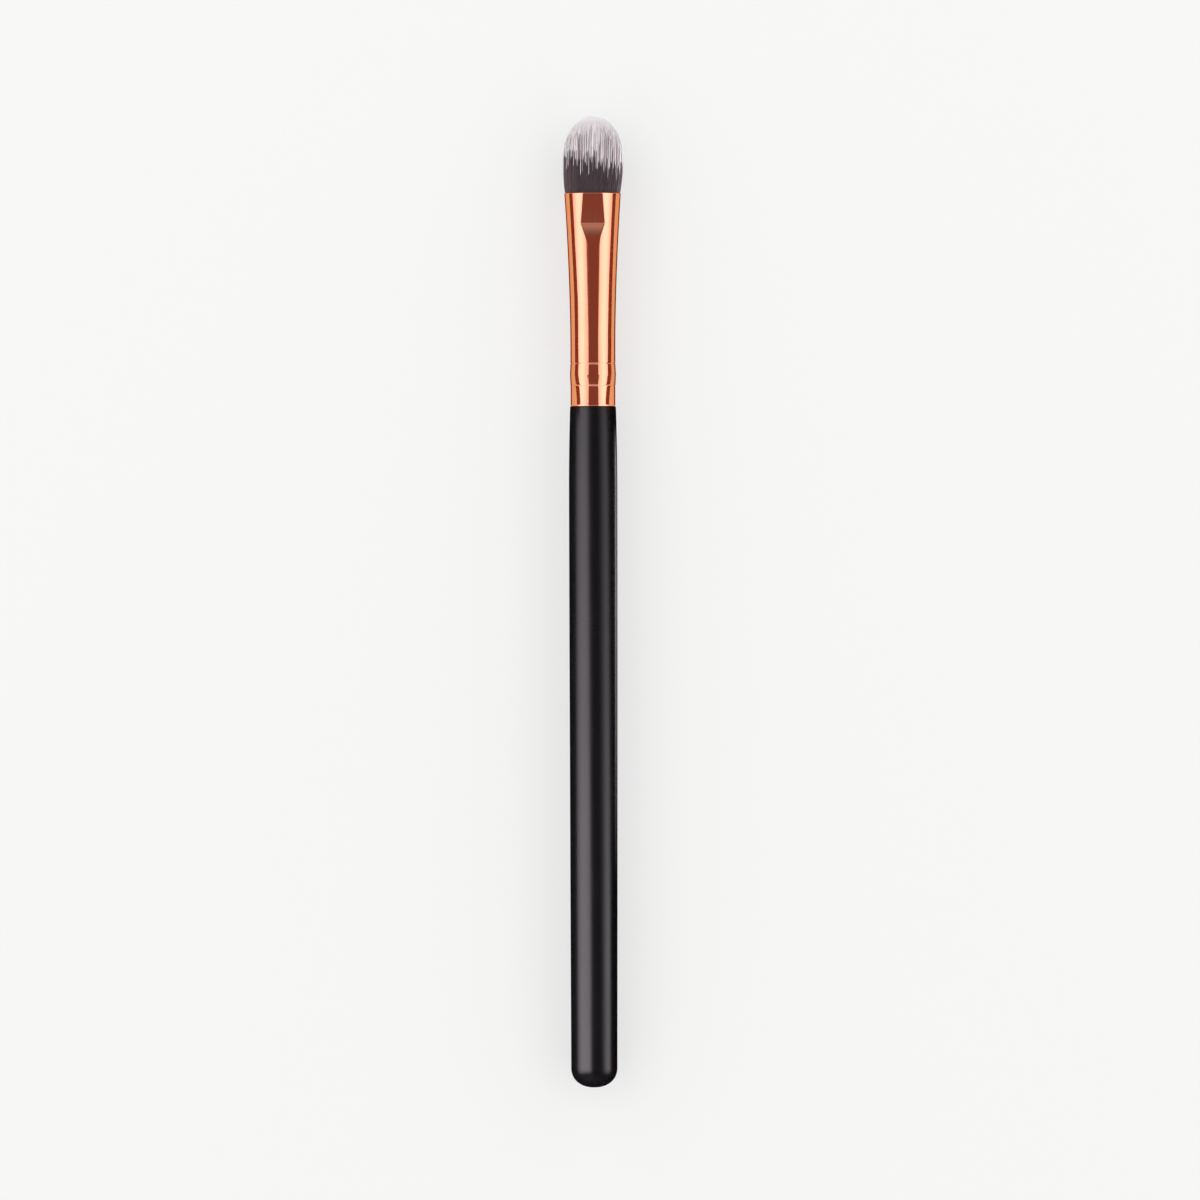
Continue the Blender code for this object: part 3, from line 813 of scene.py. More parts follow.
def corner_places(template):
    """Where each corner of each face lies round and along the filament, for its map."""
    round_it, along_it = [], []
    for face in template.data.polygons:
        corners = [template.data.vertices[index].co for index in face.vertices]
        turns = [round(math.atan2(corner.y, corner.x) / math.tau * 3) % 3 for corner in corners]
        on_axis = [math.hypot(corner.x, corner.y) < 1e-4 for corner in corners]
        ring = [turn for turn, axis in zip(turns, on_axis) if not axis]
        wraps = set(ring) == {0, 2}
        ring = [3 if wraps and turn == 0 else turn for turn in ring]
        for corner, turn, axis in zip(corners, turns, on_axis):
            placed = sum(ring) / len(ring) if axis else (3 if wraps and turn == 0 else turn)
            nudge = 0.01 if len(set(ring)) == 3 and turn == 1 else 0.0
            round_it.append(placed / 3)
            along_it.append(round(corner.z) + nudge)
    return np.array(round_it), np.array(along_it)


def fit_template(template):
    """The template's corners as arrays: place round the filament, girth, station, and its faces."""
    places = np.array([vertex.co for vertex in template.data.vertices])
    faces = [list(face.vertices) for face in template.data.polygons]
    return places[:, :2], np.round(places[:, 2]).astype(int), faces


def copy_filaments(name, template, chosen, lines, dye, tone, settings):
    """Copies the one filament along each chosen centre line, in one mesh with its own map."""
    girth, station, faces = fit_template(template)
    round_it, along_it = corner_places(template)
    picked = np.flatnonzero(chosen)
    corners = lines[picked][:, station, :]
    corners[:, :, 0] += girth[None, :, 0] * settings.filament_radius
    corners[:, :, 2] += girth[None, :, 1] * settings.filament_radius
    per_filament = len(station)
    all_faces = [
        [corner + per_filament * index for corner in face] for index in range(picked.size) for face in faces
    ]
    mesh = bpy.data.meshes.new(name)
    mesh.from_pydata(corners.reshape(-1, 3), [], all_faces)
    dye_share = (dye[picked] - settings.dye_lowest) / (settings.dye_highest - settings.dye_lowest)
    dye_step = np.clip(np.round(dye_share * (UV_DYE_STEPS - 1)), 0, UV_DYE_STEPS - 1)
    tone_step = np.clip(np.floor(tone[picked] * UV_TONE_STEPS), 0, UV_TONE_STEPS - 1)
    column = dye_step * UV_TONE_STEPS + tone_step
    inside_column = UV_MARGIN + (1 - 2 * UV_MARGIN) * round_it
    across_map = (column[:, None] + inside_column[None, :]) / UV_COLUMNS
    whole = np.floor(along_it).astype(int)
    low, high = MOUTH - FILAMENT_START, TUFT_TIP
    along_map = (lines[picked][:, whole, 1] - low) / (high - low) + (along_it - whole)[None, :]
    layer = mesh.uv_layers.new(name=BAKED_MAP)
    layer.data.foreach_set("uv", np.stack([across_map, along_map], axis=-1).ravel())
    mesh.shade_smooth()
    mesh.update()
    tuft = bpy.data.objects.new(name, mesh)
    bpy.context.scene.collection.objects.link(tuft)
    return tuft


def thread_line(points_per_turn):
    """The binding thread's centre line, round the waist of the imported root."""
    points = []
    for step in range(THREAD_TURNS * points_per_turn + 1):
        height = THREAD_LOW.y + THREAD_RADIUS + THREAD_PITCH * step / points_per_turn
        half_width, half_thickness = packed_oval(height)
        clear = SEAT_GAP + THREAD_RADIUS
        angle = math.tau * step / points_per_turn
        x, y = superellipse_point(angle, half_width + clear, half_thickness + clear)
        points.append(Vector((x, height, AXIS_HEIGHT - y)))
    return points


def model_thread(settings):
    """Winds two plies round each other along the thread's centre line and joins them."""
    points_per_turn = 72
    line = thread_line(points_per_turn)
    deselect_everything()
    plies = []
    for ply in range(2):
        curve = bpy.data.curves.new("ply", "CURVE")
        curve.dimensions = "3D"
        curve.bevel_depth = settings.ply_radius
        curve.bevel_resolution = 2
        curve.use_fill_caps = True
        spline = curve.splines.new("POLY")
        spline.points.add(len(line) - 1)
        for index, point in enumerate(line):
            ahead = line[min(index + 1, len(line) - 1)] - line[max(index - 1, 0)]
            outward = Vector((point.x, 0, point.z - AXIS_HEIGHT)).normalized()
            sideways = ahead.cross(outward).normalized()
            twist = math.tau * (index / settings.points_per_twist + ply / 2)
            place = point + (outward * math.cos(twist) + sideways * math.sin(twist)) * settings.ply_radius
            spline.points[index].co = (*place, 1.0)
        strand = bpy.data.objects.new("ply", curve)
        bpy.context.scene.collection.objects.link(strand)
        strand.select_set(True)
        plies.append(strand)
    bpy.context.view_layer.objects.active = plies[0]
    bpy.ops.object.convert(target="MESH")
    bpy.ops.object.join()
    thread = take_new_piece("twisted_thread")
    bpy.ops.object.mode_set(mode="EDIT")
    bpy.ops.mesh.select_all(action="SELECT")
    bpy.ops.mesh.remove_doubles(threshold=0.000001)
    bpy.ops.mesh.normals_make_consistent(inside=False)
    return finish_mesh(thread, sharp_angle=60)


# The tents' cloth: turns are angles from straight up, and heights are places along the tent, where
# the seam's and the butt's light come from a little further out than they lie
TENT_SIDES = 96
TENT_FOOT = 0.0005
TENT_STRETCH = 1.115
TENT_SEAM = 0.032 * TENT_STRETCH
TENT_BUTT = -0.062 * TENT_STRETCH

# Ferrule's tent: inner edges of its panels, in degrees, for the tube and then for the flare
LEFT_PANEL_EDGES = (18.5, 28.5)
RIGHT_PANEL_EDGES = (26.5, 32.0)
FLARE_LIGHT_RISE = (-0.022, -0.016)
FLARE_LIGHT_FALL = (0.009, 0.042)
PANEL_EDGE_SOFTNESS = (-0.02, 0.03)
PANEL_CROWN_RISE = (0.4, 0.98)
PANEL_CROWN_FALL = (1.1, 1.57)
PANEL_FOOT_SHARE = 0.6
TIP_LIGHT_RISE = (0.15, 0.3)
BUTT_LIGHT_RISE = (-0.06, -0.18)
TOP_LIGHT_FALL = (0.3, 0.75)
TOP_LIGHT_LEVEL = 0.65
BEYOND_TIP_RANGE = (0.3, 1.2)
BEYOND_TIP_BOOST = 0.55

# What matt surfaces see of the strip between the panels, of the panels and of the top light
MATT_STRIP = (0.2, 0.2, 0.2)
MATT_PANEL = (0.78, 0.78, 0.78)
MATT_TOP = (0.98, 0.98, 0.98)
TOP_TINT = (0.95, 0.86, 1.1)

# Handle's tent: each panel's inner edge, full light, start of its fall and outer edge, in degrees
# by the butt and by the seam; the level past that edge; and its levels by the seam and by the butt
LEFT_HANDLE_PANEL = ((8.0, 14.0), (24.0, 38.0), (58.0, 58.0), (96.0, 96.0))
LEFT_HANDLE_FOOT = 0.25
LEFT_HANDLE_LEVELS = (1.95, 4.2)
RIGHT_HANDLE_PANEL = ((36.0, 18.0), (72.0, 60.0), (78.0, 62.0), (96.0, 80.0))
RIGHT_HANDLE_FOOT = 0.02
RIGHT_HANDLE_LEVELS = (1.25, 3.0)
HANDLE_DIM_LEVEL = 0.05
HANDLE_LIGHT_RISE = (-0.34, -0.12)
HANDLE_LIGHT_FALL = (0.11, 0.2)


def scaled(tree, colour, share):
    """A colour times a share."""
    inputs = {0: colour, "Scale": share}
    return add_node(tree, "VectorMath", inputs, operation="SCALE").outputs["Vector"]


def new_glow(name):
    """A material with no surface of its own, for a glow."""
    material = bpy.data.materials.new(name)
    material.use_nodes = True
    tree = material.node_tree
    tree.nodes.remove(tree.nodes["Principled BSDF"])
    return material, tree


def new_tent_cloth(name):
    """A glowing material with the turn and the place along the brush of each point of its tent."""
    material, tree = new_glow(name)
    place = add_node(tree, "TexCoord").outputs["Object"]
    parts = add_node(tree, "SeparateXYZ", {"Vector": place})
    rise = calculate(tree, "SUBTRACT", parts.outputs["Z"], AXIS_HEIGHT)
    turn = calculate(tree, "ARCTAN2", parts.outputs["X"], rise)
    return material, tree, turn, parts.outputs["Y"]


def finish_glow(tree, colour, see_through):
    glow = add_node(tree, "Emission", {"Color": colour}).outputs["Emission"]
    if see_through:
        clear = add_node(tree, "BsdfTransparent").outputs["BSDF"]
        glow = add_node(tree, "AddShader", {0: glow, 1: clear}).outputs["Shader"]
    tree.links.new(glow, tree.nodes["Material Output"].inputs["Surface"])


def lit_stretch(tree, along, rise, fall):
    """The stretch along the brush where a light shows, between its rise and its fall."""
    return times(tree, spread(tree, along, *rise), spread(tree, along, *fall, 1.0, 0.0))


def ferrule_panels(tree, turn, along):
    """How much of each point is panel, and the panels' light there, for both sides together."""
    left_turn = times(tree, turn, -1.0)
    seen_by_flare = lit_stretch(tree, along, FLARE_LIGHT_RISE, FLARE_LIGHT_FALL)
    lit, level = 0.0, 0.0
    for side_turn, edges in ((left_turn, LEFT_PANEL_EDGES), (turn, RIGHT_PANEL_EDGES)):
        inner = spread(tree, seen_by_flare, 0.0, 1.0, *map(math.radians, edges))
        edge = spread(tree, calculate(tree, "SUBTRACT", side_turn, inner), *PANEL_EDGE_SOFTNESS)
        crown_rise = spread(tree, side_turn, *PANEL_CROWN_RISE, PANEL_FOOT_SHARE, 1.0, smooth=True)
        crown_fall = spread(tree, side_turn, *PANEL_CROWN_FALL, 1.0, PANEL_FOOT_SHARE, smooth=True)
        lit = calculate(tree, "ADD", edge, lit)
        level = calculate(tree, "ADD", times(tree, edge, crown_rise, crown_fall), level)
    return lit, level


def ferrule_cloth(settings):
    """Two bright panels beside a dim warm strip, and a light past each end, for all but the handle."""
    material, tree, turn, along = new_tent_cloth("ferrule_tent_cloth")
    lit, level = ferrule_panels(tree, turn, along)
    over_tip = spread(tree, along, *TIP_LIGHT_RISE)
    over_ends = calculate(tree, "MAXIMUM", over_tip, spread(tree, along, *BUTT_LIGHT_RISE))
    middle = spread(tree, calculate(tree, "ABSOLUTE", turn), *TOP_LIGHT_FALL, 1.0, 0.0, smooth=True)
    top_light = times(tree, over_ends, middle, TOP_LIGHT_LEVEL)
    glossy = add_node(tree, "LightPath").outputs["Is Glossy Ray"]
    strip = blend_colours(tree, glossy, MATT_STRIP, settings.middle_colour)
    panel = blend_colours(tree, glossy, MATT_PANEL, settings.panel_tint)
    bright = scaled(tree, panel, times(tree, level, settings.panel_level))
    sides = blend_colours(tree, lit, strip, bright)
    top = scaled(tree, blend_colours(tree, glossy, MATT_TOP, TOP_TINT), top_light)
    both = add_node(tree, "VectorMath", {0: sides, 1: top}, operation="MAXIMUM").outputs["Vector"]
    matt = calculate(tree, "SUBTRACT", 1.0, glossy)
    beyond_tip = spread(tree, along, *BEYOND_TIP_RANGE, to_high=BEYOND_TIP_BOOST)
    boost = calculate(tree, "ADD", times(tree, beyond_tip, matt), 1.0)
    finish_glow(tree, scaled(tree, both, boost), see_through=False)
    return material


def handle_panel(tree, turn, along, edges, foot):
    """Light that rises from a panel's inner edge, stays, and falls to a foot level at its outer edge."""
    inner, full, fall, outer = (
        spread(tree, along, TENT_BUTT, TENT_SEAM, *map(math.radians, places)) for places in edges
    )
    rising = spread(tree, turn, inner, full, smooth=True)
    return times(tree, rising, spread(tree, turn, fall, outer, 1.0, foot, smooth=True))


def handle_cloth(settings):
    """Two soft panels that brighten and shift towards the butt, for the handle alone."""
    material, tree, turn, along = new_tent_cloth("handle_tent_cloth")
    left = handle_panel(tree, times(tree, turn, -1.0), along, LEFT_HANDLE_PANEL, LEFT_HANDLE_FOOT)
    right = handle_panel(tree, turn, along, RIGHT_HANDLE_PANEL, RIGHT_HANDLE_FOOT)
    down = spread(tree, along, TENT_SEAM, TENT_BUTT)
    left = times(tree, left, spread(tree, down, 0.0, 1.0, *LEFT_HANDLE_LEVELS))
    right = times(tree, right, spread(tree, times(tree, down, down), 0.0, 1.0, *RIGHT_HANDLE_LEVELS))
    level = calculate(tree, "ADD", calculate(tree, "ADD", left, right), HANDLE_DIM_LEVEL)
    glossy = add_node(tree, "LightPath").outputs["Is Glossy Ray"]
    between = lit_stretch(tree, along, HANDLE_LIGHT_RISE, HANDLE_LIGHT_FALL)
    shown = calculate(tree, "MAXIMUM", between, calculate(tree, "SUBTRACT", 1.0, glossy))
    finish_glow(tree, scaled(tree, settings.handle_light_tint, times(tree, level, shown)), see_through=True)
    return material


def pale_floor(settings):
    """A pale matt floor, which camera, metal and glass see a little evened out, with the shadow kept."""
    material, tree, shader = new_material("pale_floor", Roughness=0.9, Specular_IOR_Level=0.0)
    speckle = noise(tree, object_places(tree), 350.0, detail=3.0)
    shade = tuple(channel * 0.985 for channel in settings.floor_colour)
    tree.links.new(blend_colours(tree, speckle, settings.floor_colour, shade), shader.inputs["Base Color"])
    rays = add_node(tree, "LightPath")
    glossy = calculate(tree, "MAXIMUM", rays.outputs["Is Glossy Ray"], rays.outputs["Is Transmission Ray"])
    camera = calculate(tree, "MULTIPLY", rays.outputs["Is Camera Ray"], settings.floor_evening)
    share = calculate(tree, "MAXIMUM", camera, glossy)
    glow = add_node(tree, "Emission", {"Color": (*settings.world_colour, 1.0)})
    mixed = add_node(tree, "MixShader", {0: share, 1: shader.outputs["BSDF"], 2: glow.outputs["Emission"]})
    tree.links.new(mixed.outputs["Shader"], tree.nodes["Material Output"].inputs["Surface"])
    return material


def hide_from(piece, *rays):
    for ray in rays:
        setattr(piece, "visible_" + ray, False)


def set_floor(settings):
    deselect_everything()
    bpy.ops.mesh.primitive_plane_add(size=settings.floor_size, location=(0, 0, 0))
    floor = take_new_piece("floor")
    floor.data.materials.append(pale_floor(settings))
    light_only(floor, bpy.data.objects["lacquered_handle"], "EXCLUDE")


def set_tent(name, radius, length, cloth):
    """Half a closed cylinder over the brush, whose cloth glows."""
    deselect_everything()
    bpy.ops.mesh.primitive_cylinder_add(
        vertices=TENT_SIDES,
        radius=radius,
        depth=length,
        location=(0, 0, AXIS_HEIGHT),
        rotation=(math.pi / 2, 0, 0),
    )
    tent = take_new_piece(name)
    bpy.ops.object.mode_set(mode="EDIT")
    bpy.ops.mesh.select_all(action="SELECT")
    bpy.ops.mesh.bisect(plane_co=(0, 0, TENT_FOOT), plane_no=(0, 0, 1), clear_inner=True)
    finish_mesh(tent, sharp_angle=30)
    tent.data.materials.append(cloth)
    hide_from(tent, "camera")
    return tent


def light_only(glowing, piece, state):
    """Lets a glowing object light one piece alone, or all but that piece."""
    group = bpy.data.collections.new(glowing.name + "_light")
    group.objects.link(piece)
    group.collection_objects[0].light_linking.link_state = state
    glowing.light_linking.receiver_collection = group


def set_tents(settings):
    """An outer tent for the ferrule, tuft and floor, and a clear one inside it for the handle."""
    handle = bpy.data.objects["lacquered_handle"]
    radius, length = settings.tent_radius, settings.tent_length
    outer = set_tent("ferrule_tent", radius * 2, length * 2, ferrule_cloth(settings))
    light_only(outer, handle, "EXCLUDE")
    inner = set_tent("handle_tent", radius, length, handle_cloth(settings))
    light_only(inner, handle, "INCLUDE")


def add_card(name, corners, faces, material):
    """A card that only metal and lacquer see."""
    mesh = bpy.data.meshes.new(name)
    mesh.from_pydata(corners, [], faces)
    mesh.materials.append(material)
    card = bpy.data.objects.new(name, mesh)
    bpy.context.scene.collection.objects.link(card)
    hide_from(card, "camera", "diffuse", "shadow", "transmission")
    return card


def add_level_card(name, across, along, height, material):
    """A level card from one place to another across and along the brush."""
    left, right = across
    back, front = along
    corners = [(left, back, height), (right, back, height), (right, front, height), (left, front, height)]
    return add_card(name, corners, [(0, 1, 2, 3)], material)


# Lower and upper edges of the cards beside the ferrule, over its axis, at heights along it
LEFT_CARD_EDGES = (
    (0.0338, 0.0024, 0.0090),
    (0.0365, 0.0022, 0.0087),
    (0.0400, -0.0007, 0.0060),
    (0.0460, -0.0013, 0.0053),
    (0.0540, -0.0010, 0.0056),
    (0.0640, -0.0021, 0.0037),
    (0.0780, -0.0022, 0.0031),
)
RIGHT_CARD_EDGES = (
    (0.0338, 0.0022, 0.0090),
    (0.0365, 0.0020, 0.0087),
    (0.0400, -0.0014, 0.0056),
    (0.0460, -0.0024, 0.0045),
    (0.0540, -0.0024, 0.0042),
    (0.0640, -0.0022, 0.0036),
    (0.0780, -0.0022, 0.0031),
)
# The card under the ferrule is painted shade, seen by metal in place of the floor's shade under the brush
UNDER_CARD_HEIGHT = 0.0001

# Edge light: its two sides, its height over the floor, its ends and where its light rises and falls
EDGE_LIGHT_SIDES = (0.0081, 0.0114)
EDGE_LIGHT_HEIGHT = 0.0002
EDGE_LIGHT_ENDS = (BUTT, SEAM - 0.002)
EDGE_LIGHT_RISE = (-0.05, 0.0)
EDGE_LIGHT_FALL = (SEAM - 0.01, SEAM - 0.003)
EDGE_LIGHT_TINT = (1.0, 0.94, 0.9)


def set_cards(settings):
    """Cards beside and under the ferrule give it its dark lines. The one under it is painted shade: for
    metal it stands in for the floor's shade under the brush.
    """
    colour = (*settings.edge_card_colour, 1.0)
    paint, _, _ = new_material("edge_card_paint", Base_Color=colour, Roughness=1.0, Specular_IOR_Level=0.0)
    for name, side, edges in (("left_card", -1, LEFT_CARD_EDGES), ("right_card", 1, RIGHT_CARD_EDGES)):
        across = side * settings.card_distance
        corners = [(across, y, AXIS_HEIGHT + edge) for y, *heights in edges for edge in heights]
        faces = [(2 * i, 2 * i + 2, 2 * i + 3, 2 * i + 1) for i in range(len(edges) - 1)]
        add_card(name, corners, faces, paint)
    reach = settings.ferrule_card_reach
    add_level_card("ferrule_under_card", (-reach, reach), (SEAM, TUFT_TIP), UNDER_CARD_HEIGHT, paint)


def set_edge_light(settings):
    """A narrow light under the handle's right side, for the thin line that its edge shows."""
    material, tree = new_glow("edge_light")
    shown = lit_stretch(tree, height_in_object(tree), EDGE_LIGHT_RISE, EDGE_LIGHT_FALL)
    light = scaled(tree, EDGE_LIGHT_TINT, times(tree, shown, settings.edge_light_level))
    finish_glow(tree, light, see_through=True)
    strip = add_level_card("edge_light", EDGE_LIGHT_SIDES, EDGE_LIGHT_ENDS, EDGE_LIGHT_HEIGHT, material)
    light_only(strip, bpy.data.objects["lacquered_handle"], "INCLUDE")


def set_world(settings):
    world = bpy.context.scene.world or bpy.data.worlds.new("World")
    bpy.context.scene.world = world
    world.use_nodes = True
    world.node_tree.nodes["Background"].inputs["Color"].default_value = (*settings.world_colour, 1.0)
    world.node_tree.nodes["Background"].inputs["Strength"].default_value = 1.0


def set_camera(settings):
    """Looks straight down on the brush from far off, as the photograph does."""
    bpy.context.scene.view_settings.view_transform = "Standard"
    deselect_everything()
    bpy.ops.object.camera_add(
        location=(settings.aim_x, settings.aim_y, AXIS_HEIGHT + settings.camera_distance),
        rotation=(0, 0, settings.camera_roll),
    )
    camera = bpy.context.object
    camera.name = "photo_camera"
    camera.data.lens = camera.data.sensor_width * settings.camera_distance / settings.frame_width
    camera.data.dof.use_dof = False
    camera.data.clip_end = 10.0
    bpy.context.scene.camera = camera


def colour_property(name, description, default):
    return FloatVectorProperty(
        name=name, description=description, default=default, subtype="COLOR", size=3, min=0.0, max=1.0
    )


def length_property(name, description, default):
    return FloatProperty(name=name, description=description, default=default, unit="LENGTH", precision=6)


def number_property(name, description, default, low=0.0, high=10.0):
    return FloatProperty(name=name, description=description, default=default, min=low, max=high)


class HandleSettings(bpy.types.PropertyGroup):
    """Finish of the handle."""

    sides: IntProperty(name="Sides", description="Sides of the turned handle", default=112, min=24, max=256)
    lacquer_colour: colour_property("Lacquer", "Colour of the black lacquer", (0.0036, 0.0032, 0.0037))
    lacquer_worn_colour: colour_property("Worn lacquer", "Where it is rubbed", (0.005, 0.0045, 0.005))
    lacquer_gloss: number_property("Roughness", "Roughness of the satin lacquer", 0.26, 0.05, 0.9)
    wood_light: colour_property("Light wood", "Between the grain of the bare tenon", (0.62, 0.42, 0.24))
    wood_dark: colour_property("Dark wood", "Colour of the grain of the bare tenon", (0.4, 0.24, 0.12))


class FerruleSettings(bpy.types.PropertyGroup):
    """Crimps, edges and plate of the ferrule."""

    crimp_groove: length_property("Crimp groove", "Depth of a crimp's narrow groove", 0.000035)
    crimp_dish: length_property("Crimp dish", "Depth of the soft dish round a crimp", 0.000004)
    crease_rise: length_property("Crease rise", "Height of the fine ridge at the flat's crease", 0.000035)
    rim_round: length_property("Rim round", "Width of the rounding on both rims", 0.00011)
    plate_colour: colour_property("Plate", "Colour of the rose gold plate", (0.93, 0.38, 0.19))
    plate_deep_colour: colour_property("Deep plate", "Plate where it is thicker", (0.92, 0.36, 0.175))
    plate_roughness: number_property("Roughness", "Roughness of the polished plate", 0.08, 0.03, 0.6)
    crimp_roughness: number_property("Crimps", "Roughness of the line that rolling leaves", 0.3, 0, 1)


class TuftSettings(bpy.types.PropertyGroup):
    """Filaments, clumps and dye of the tuft."""

    seed: IntProperty(name="Seed", description="Picks the lie of the filaments", default=7, min=0)
    filament_spacing: length_property("Spacing", "Distance between filaments", 0.000112)
    filament_radius: length_property("Radius", "Radius of a filament", 0.000061)
    clumps: IntProperty(name="Clumps", description="Clumps of gathered filaments", default=2300, min=1)
    clump_pull: number_property("Gathering", "How far a clump draws together at its tip", 0.45, 0, 1)
    tuft_lean: length_property("Tuft lean", "How far the whole tuft leans to its right", 0.00012)
    clump_lean: length_property("Lean", "How far clumps lean at their tips", 0.0001)
    tip_overshoot: length_property("Overshoot", "How far the longest pass the packed model", 0.00008)
    clump_unevenness: length_property("Clump tips", "How much clumps differ in length", 0.00012)
    tip_unevenness: length_property("Tips", "How much filaments differ in length", 0.00012)
    dye_height: length_property("Dye height", "Dye line over the mouth, at the middle", 0.006)
    dye_tilt: number_property("Dye tilt", "Rise of the dye line across the tuft", -0.22, -1, 1)
    dye_fade: length_property("Dye fade", "Length in which a filament turns to white", 0.0007)
    dye_lowest: length_property("Lowest dye", "Lowest dye line of a filament", 0.0024)
    dye_highest: length_property("Highest dye", "Highest dye line of a filament", 0.0104)
    clump_dye_spread: length_property("Clump dye", "How much the dye line differs by clump", 0.0006)
    own_dye_spread: length_property("Filament dye", "How much it differs by filament", 0.0009)
    white_colour: colour_property("White", "Lightest white of the tips", (1.0, 0.95, 0.964))
    # The shadow colours are painted shade: the dark ends of a filament's tone, for the gaps between clumps,
    # and the grooves of the packed root
    white_shadow: colour_property("Shaded white", "Darkest white of the tips", (0.25, 0.135, 0.16))
    dark_colour: colour_property("Dark", "Lightest tone of the dyed root", (0.068, 0.037, 0.039))
    dark_shadow: colour_property("Shaded dark", "Darkest tone of the dyed root", (0.04, 0.022, 0.024))


class ThreadSettings(bpy.types.PropertyGroup):
    """Twist of the binding thread, and the colours of thread and glues."""

    ply_radius: length_property("Ply radius", "Radius of one of the two plies", 0.0001)
    points_per_twist: IntProperty(name="Twist", description="Points in one twist", default=12, min=6)
    thread_colour: colour_property("Thread", "Light fibres of the thread", (0.78, 0.71, 0.57))
    # The thread's and the glue's shadow colours are painted shade in the hollows of their grain
    thread_shadow: colour_property("Thread shadow", "Dark fibres of the thread", (0.5, 0.43, 0.32))
    resin_colour: colour_property("Resin", "Colour of the cured resin", (0.66, 0.53, 0.3))
    resin_deep_colour: colour_property("Deep resin", "Resin where it is thick", (0.46, 0.32, 0.14))
    bubble_colour: colour_property("Bubbles", "Colour of the resin's small bubbles", (0.8, 0.74, 0.6))
    glue_colour: colour_property("Wood glue", "Colour of the cured wood glue", (0.84, 0.79, 0.63))
    glue_shadow: colour_property("Glue shadow", "Wood glue in its dimples", (0.68, 0.6, 0.43))


class StageSettings(bpy.types.PropertyGroup):
    """Floor, light tent and camera."""

    floor_size: length_property("Floor", "Width of the square floor", 6.0)
    floor_colour: colour_property("Floor colour", "Colour of the pale floor", (0.8, 0.8, 0.795))
    floor_evening: number_property("Evening", "How far the floor's light is evened out", 0.7, 0, 1)
    world_colour: colour_property("World", "Pale surroundings", (0.87, 0.87, 0.865))
    tent_radius: length_property("Tent radius", "Radius of the light tent", 0.4)
    tent_length: length_property("Tent length", "Length of the light tent", 1.3)
    panel_level: number_property("Panels", "Light of the panels beside the ferrule", 2.75)
    panel_tint: colour_property("Panel tint", "Tint that the plate sees in those panels", (0.77, 0.76, 1.0))
    middle_colour: colour_property("Middle", "What lies between the panels", (0.228, 0.104, 0.102))
    handle_light_tint: colour_property("Handle light", "Tint of the handle's panels", (1.0, 0.92, 0.99))
    card_distance: length_property("Card distance", "Distance of the upright cards from the axis", 0.016)
    ferrule_card_reach: length_property("Ferrule card", "Half width of the card under the ferrule", 0.0083)
    edge_card_colour: colour_property("Cards", "Cards round the ferrule", (0.22, 0.075, 0.045))
    edge_light_level: number_property("Edge light", "Light of the strip beside the handle", 2.0)
    camera_distance: length_property("Camera distance", "Distance of the camera from the axis", 3.5)
    frame_width: length_property("Frame width", "Width that the camera sees at the axis", 0.2161)
    aim_x: length_property("Aim across", "Middle of the frame across the brush", 0.00119)
    aim_y: length_property("Aim along", "Middle of the frame along the brush", 0.00022)
    camera_roll: FloatProperty(
        name="Roll", description="Roll of the camera", default=math.radians(-0.115), subtype="ANGLE"
    )


class BLENDING_BRUSH_OT_add_handle(bpy.types.Operator):
    """Turn the lacquered handle"""

    bl_idname = "blending_brush.add_handle"
    bl_label = "Add Handle"

    def execute(self, context):
        settings = context.scene.brush_handle
        handle = model_handle(settings)
        seat(handle, satin_lacquer(settings), "lacquered_wood", "handle")
        return {"FINISHED"}


class BLENDING_BRUSH_OT_add_ferrule(bpy.types.Operator):
    """Draw, crimp, flare and press the ferrule"""

    bl_idname = "blending_brush.add_ferrule"
    bl_label = "Add Ferrule"

    def execute(self, context):
        settings = context.scene.brush_ferrule
        ferrule = model_ferrule(settings)
        seat(ferrule, rose_gold_plate(settings), "rose_gold_plate", "ferrule")
        return {"FINISHED"}


class BLENDING_BRUSH_OT_add_tuft(bpy.types.Operator):
    """Pack the root and comb the filaments of the tuft"""

    bl_idname = "blending_brush.add_tuft"
    bl_label = "Add Tuft"

    def execute(self, context):
        settings = context.scene.brush_tuft
        root = model_packed_root()
        seat(root, packed_filament(settings), "dyed_filament", "bristle_tuft")
        template = model_filament()
        out, lines, dye, tone = comb_filaments(settings)
        finish = dyed_filament(settings)
        middle = float(np.median(out))
        for name, chosen in (("outer_filaments", out >= middle), ("inner_filaments", out < middle)):
            tuft = copy_filaments(name, template, chosen, lines, dye, tone, settings)
            seat(tuft, finish, "dyed_filament", "bristle_tuft")
        bpy.data.objects.remove(template)
        return {"FINISHED"}


class BLENDING_BRUSH_OT_add_thread(bpy.types.Operator):
    """Wind the twisted binding thread"""

    bl_idname = "blending_brush.add_thread"
    bl_label = "Add Binding Thread"

    def execute(self, context):
        settings = context.scene.brush_thread
        thread = model_thread(settings)
        seat(thread, waxed_cotton(settings), "waxed_cotton", "binding_thread")
        return {"FINISHED"}


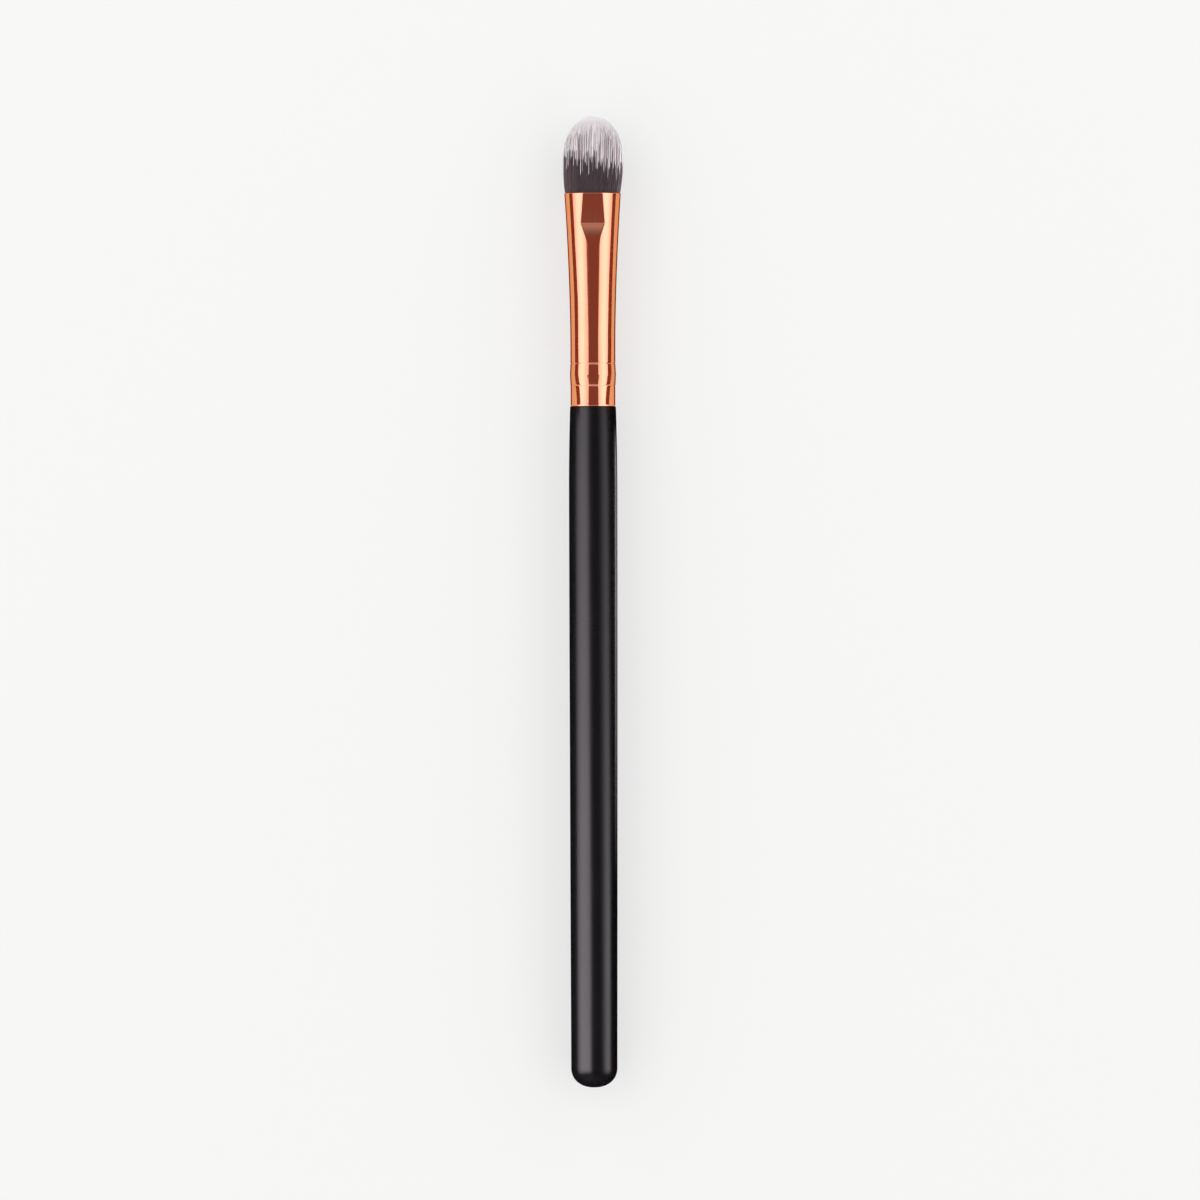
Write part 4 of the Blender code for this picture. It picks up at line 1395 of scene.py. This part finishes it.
class BLENDING_BRUSH_OT_finish_glues(bpy.types.Operator):
    """Finish the resin behind the tuft and the glue on the tenon"""

    bl_idname = "blending_brush.finish_glues"
    bl_label = "Finish Glues"

    def execute(self, context):
        settings = context.scene.brush_thread
        finishes = {"root_epoxy": cured_resin(settings), "tenon_glue": cured_wood_glue(settings)}
        for node, material in finishes.items():
            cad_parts[node].material_slots[0].material = material
        return {"FINISHED"}


class BLENDING_BRUSH_OT_set_stage(bpy.types.Operator):
    """Set the floor, the light tents, the cards beside the brush and the camera"""

    bl_idname = "blending_brush.set_stage"
    bl_label = "Set Stage"

    def execute(self, context):
        settings = context.scene.brush_stage
        set_floor(settings)
        set_tents(settings)
        set_cards(settings)
        set_edge_light(settings)
        set_world(settings)
        set_camera(settings)
        return {"FINISHED"}


OPERATORS = (
    BLENDING_BRUSH_OT_add_handle,
    BLENDING_BRUSH_OT_add_ferrule,
    BLENDING_BRUSH_OT_add_tuft,
    BLENDING_BRUSH_OT_add_thread,
    BLENDING_BRUSH_OT_finish_glues,
    BLENDING_BRUSH_OT_set_stage,
)


class BLENDING_BRUSH_PT_tools(bpy.types.Panel):
    """Lists the brush's pieces"""

    bl_label = "Blending Brush"
    bl_idname = "BLENDING_BRUSH_PT_tools"
    bl_space_type = "VIEW_3D"
    bl_region_type = "UI"
    bl_category = "Brush"

    def draw(self, context):
        for operator in OPERATORS:
            self.layout.operator(operator.bl_idname)


SETTINGS = {
    "brush_handle": HandleSettings,
    "brush_ferrule": FerruleSettings,
    "brush_tuft": TuftSettings,
    "brush_thread": ThreadSettings,
    "brush_stage": StageSettings,
}


def register():
    for group in (*SETTINGS.values(), *OPERATORS, BLENDING_BRUSH_PT_tools):
        bpy.utils.register_class(group)
    for name, group in SETTINGS.items():
        setattr(bpy.types.Scene, name, PointerProperty(type=group))


def unregister():
    for name in SETTINGS:
        delattr(bpy.types.Scene, name)
    for group in reversed((*SETTINGS.values(), *OPERATORS, BLENDING_BRUSH_PT_tools)):
        bpy.utils.unregister_class(group)


def main():
    register()
    for operator in OPERATORS:
        group, name = operator.bl_idname.split(".")
        getattr(getattr(bpy.ops, group), name)()


if __name__ == "__main__":
    main()
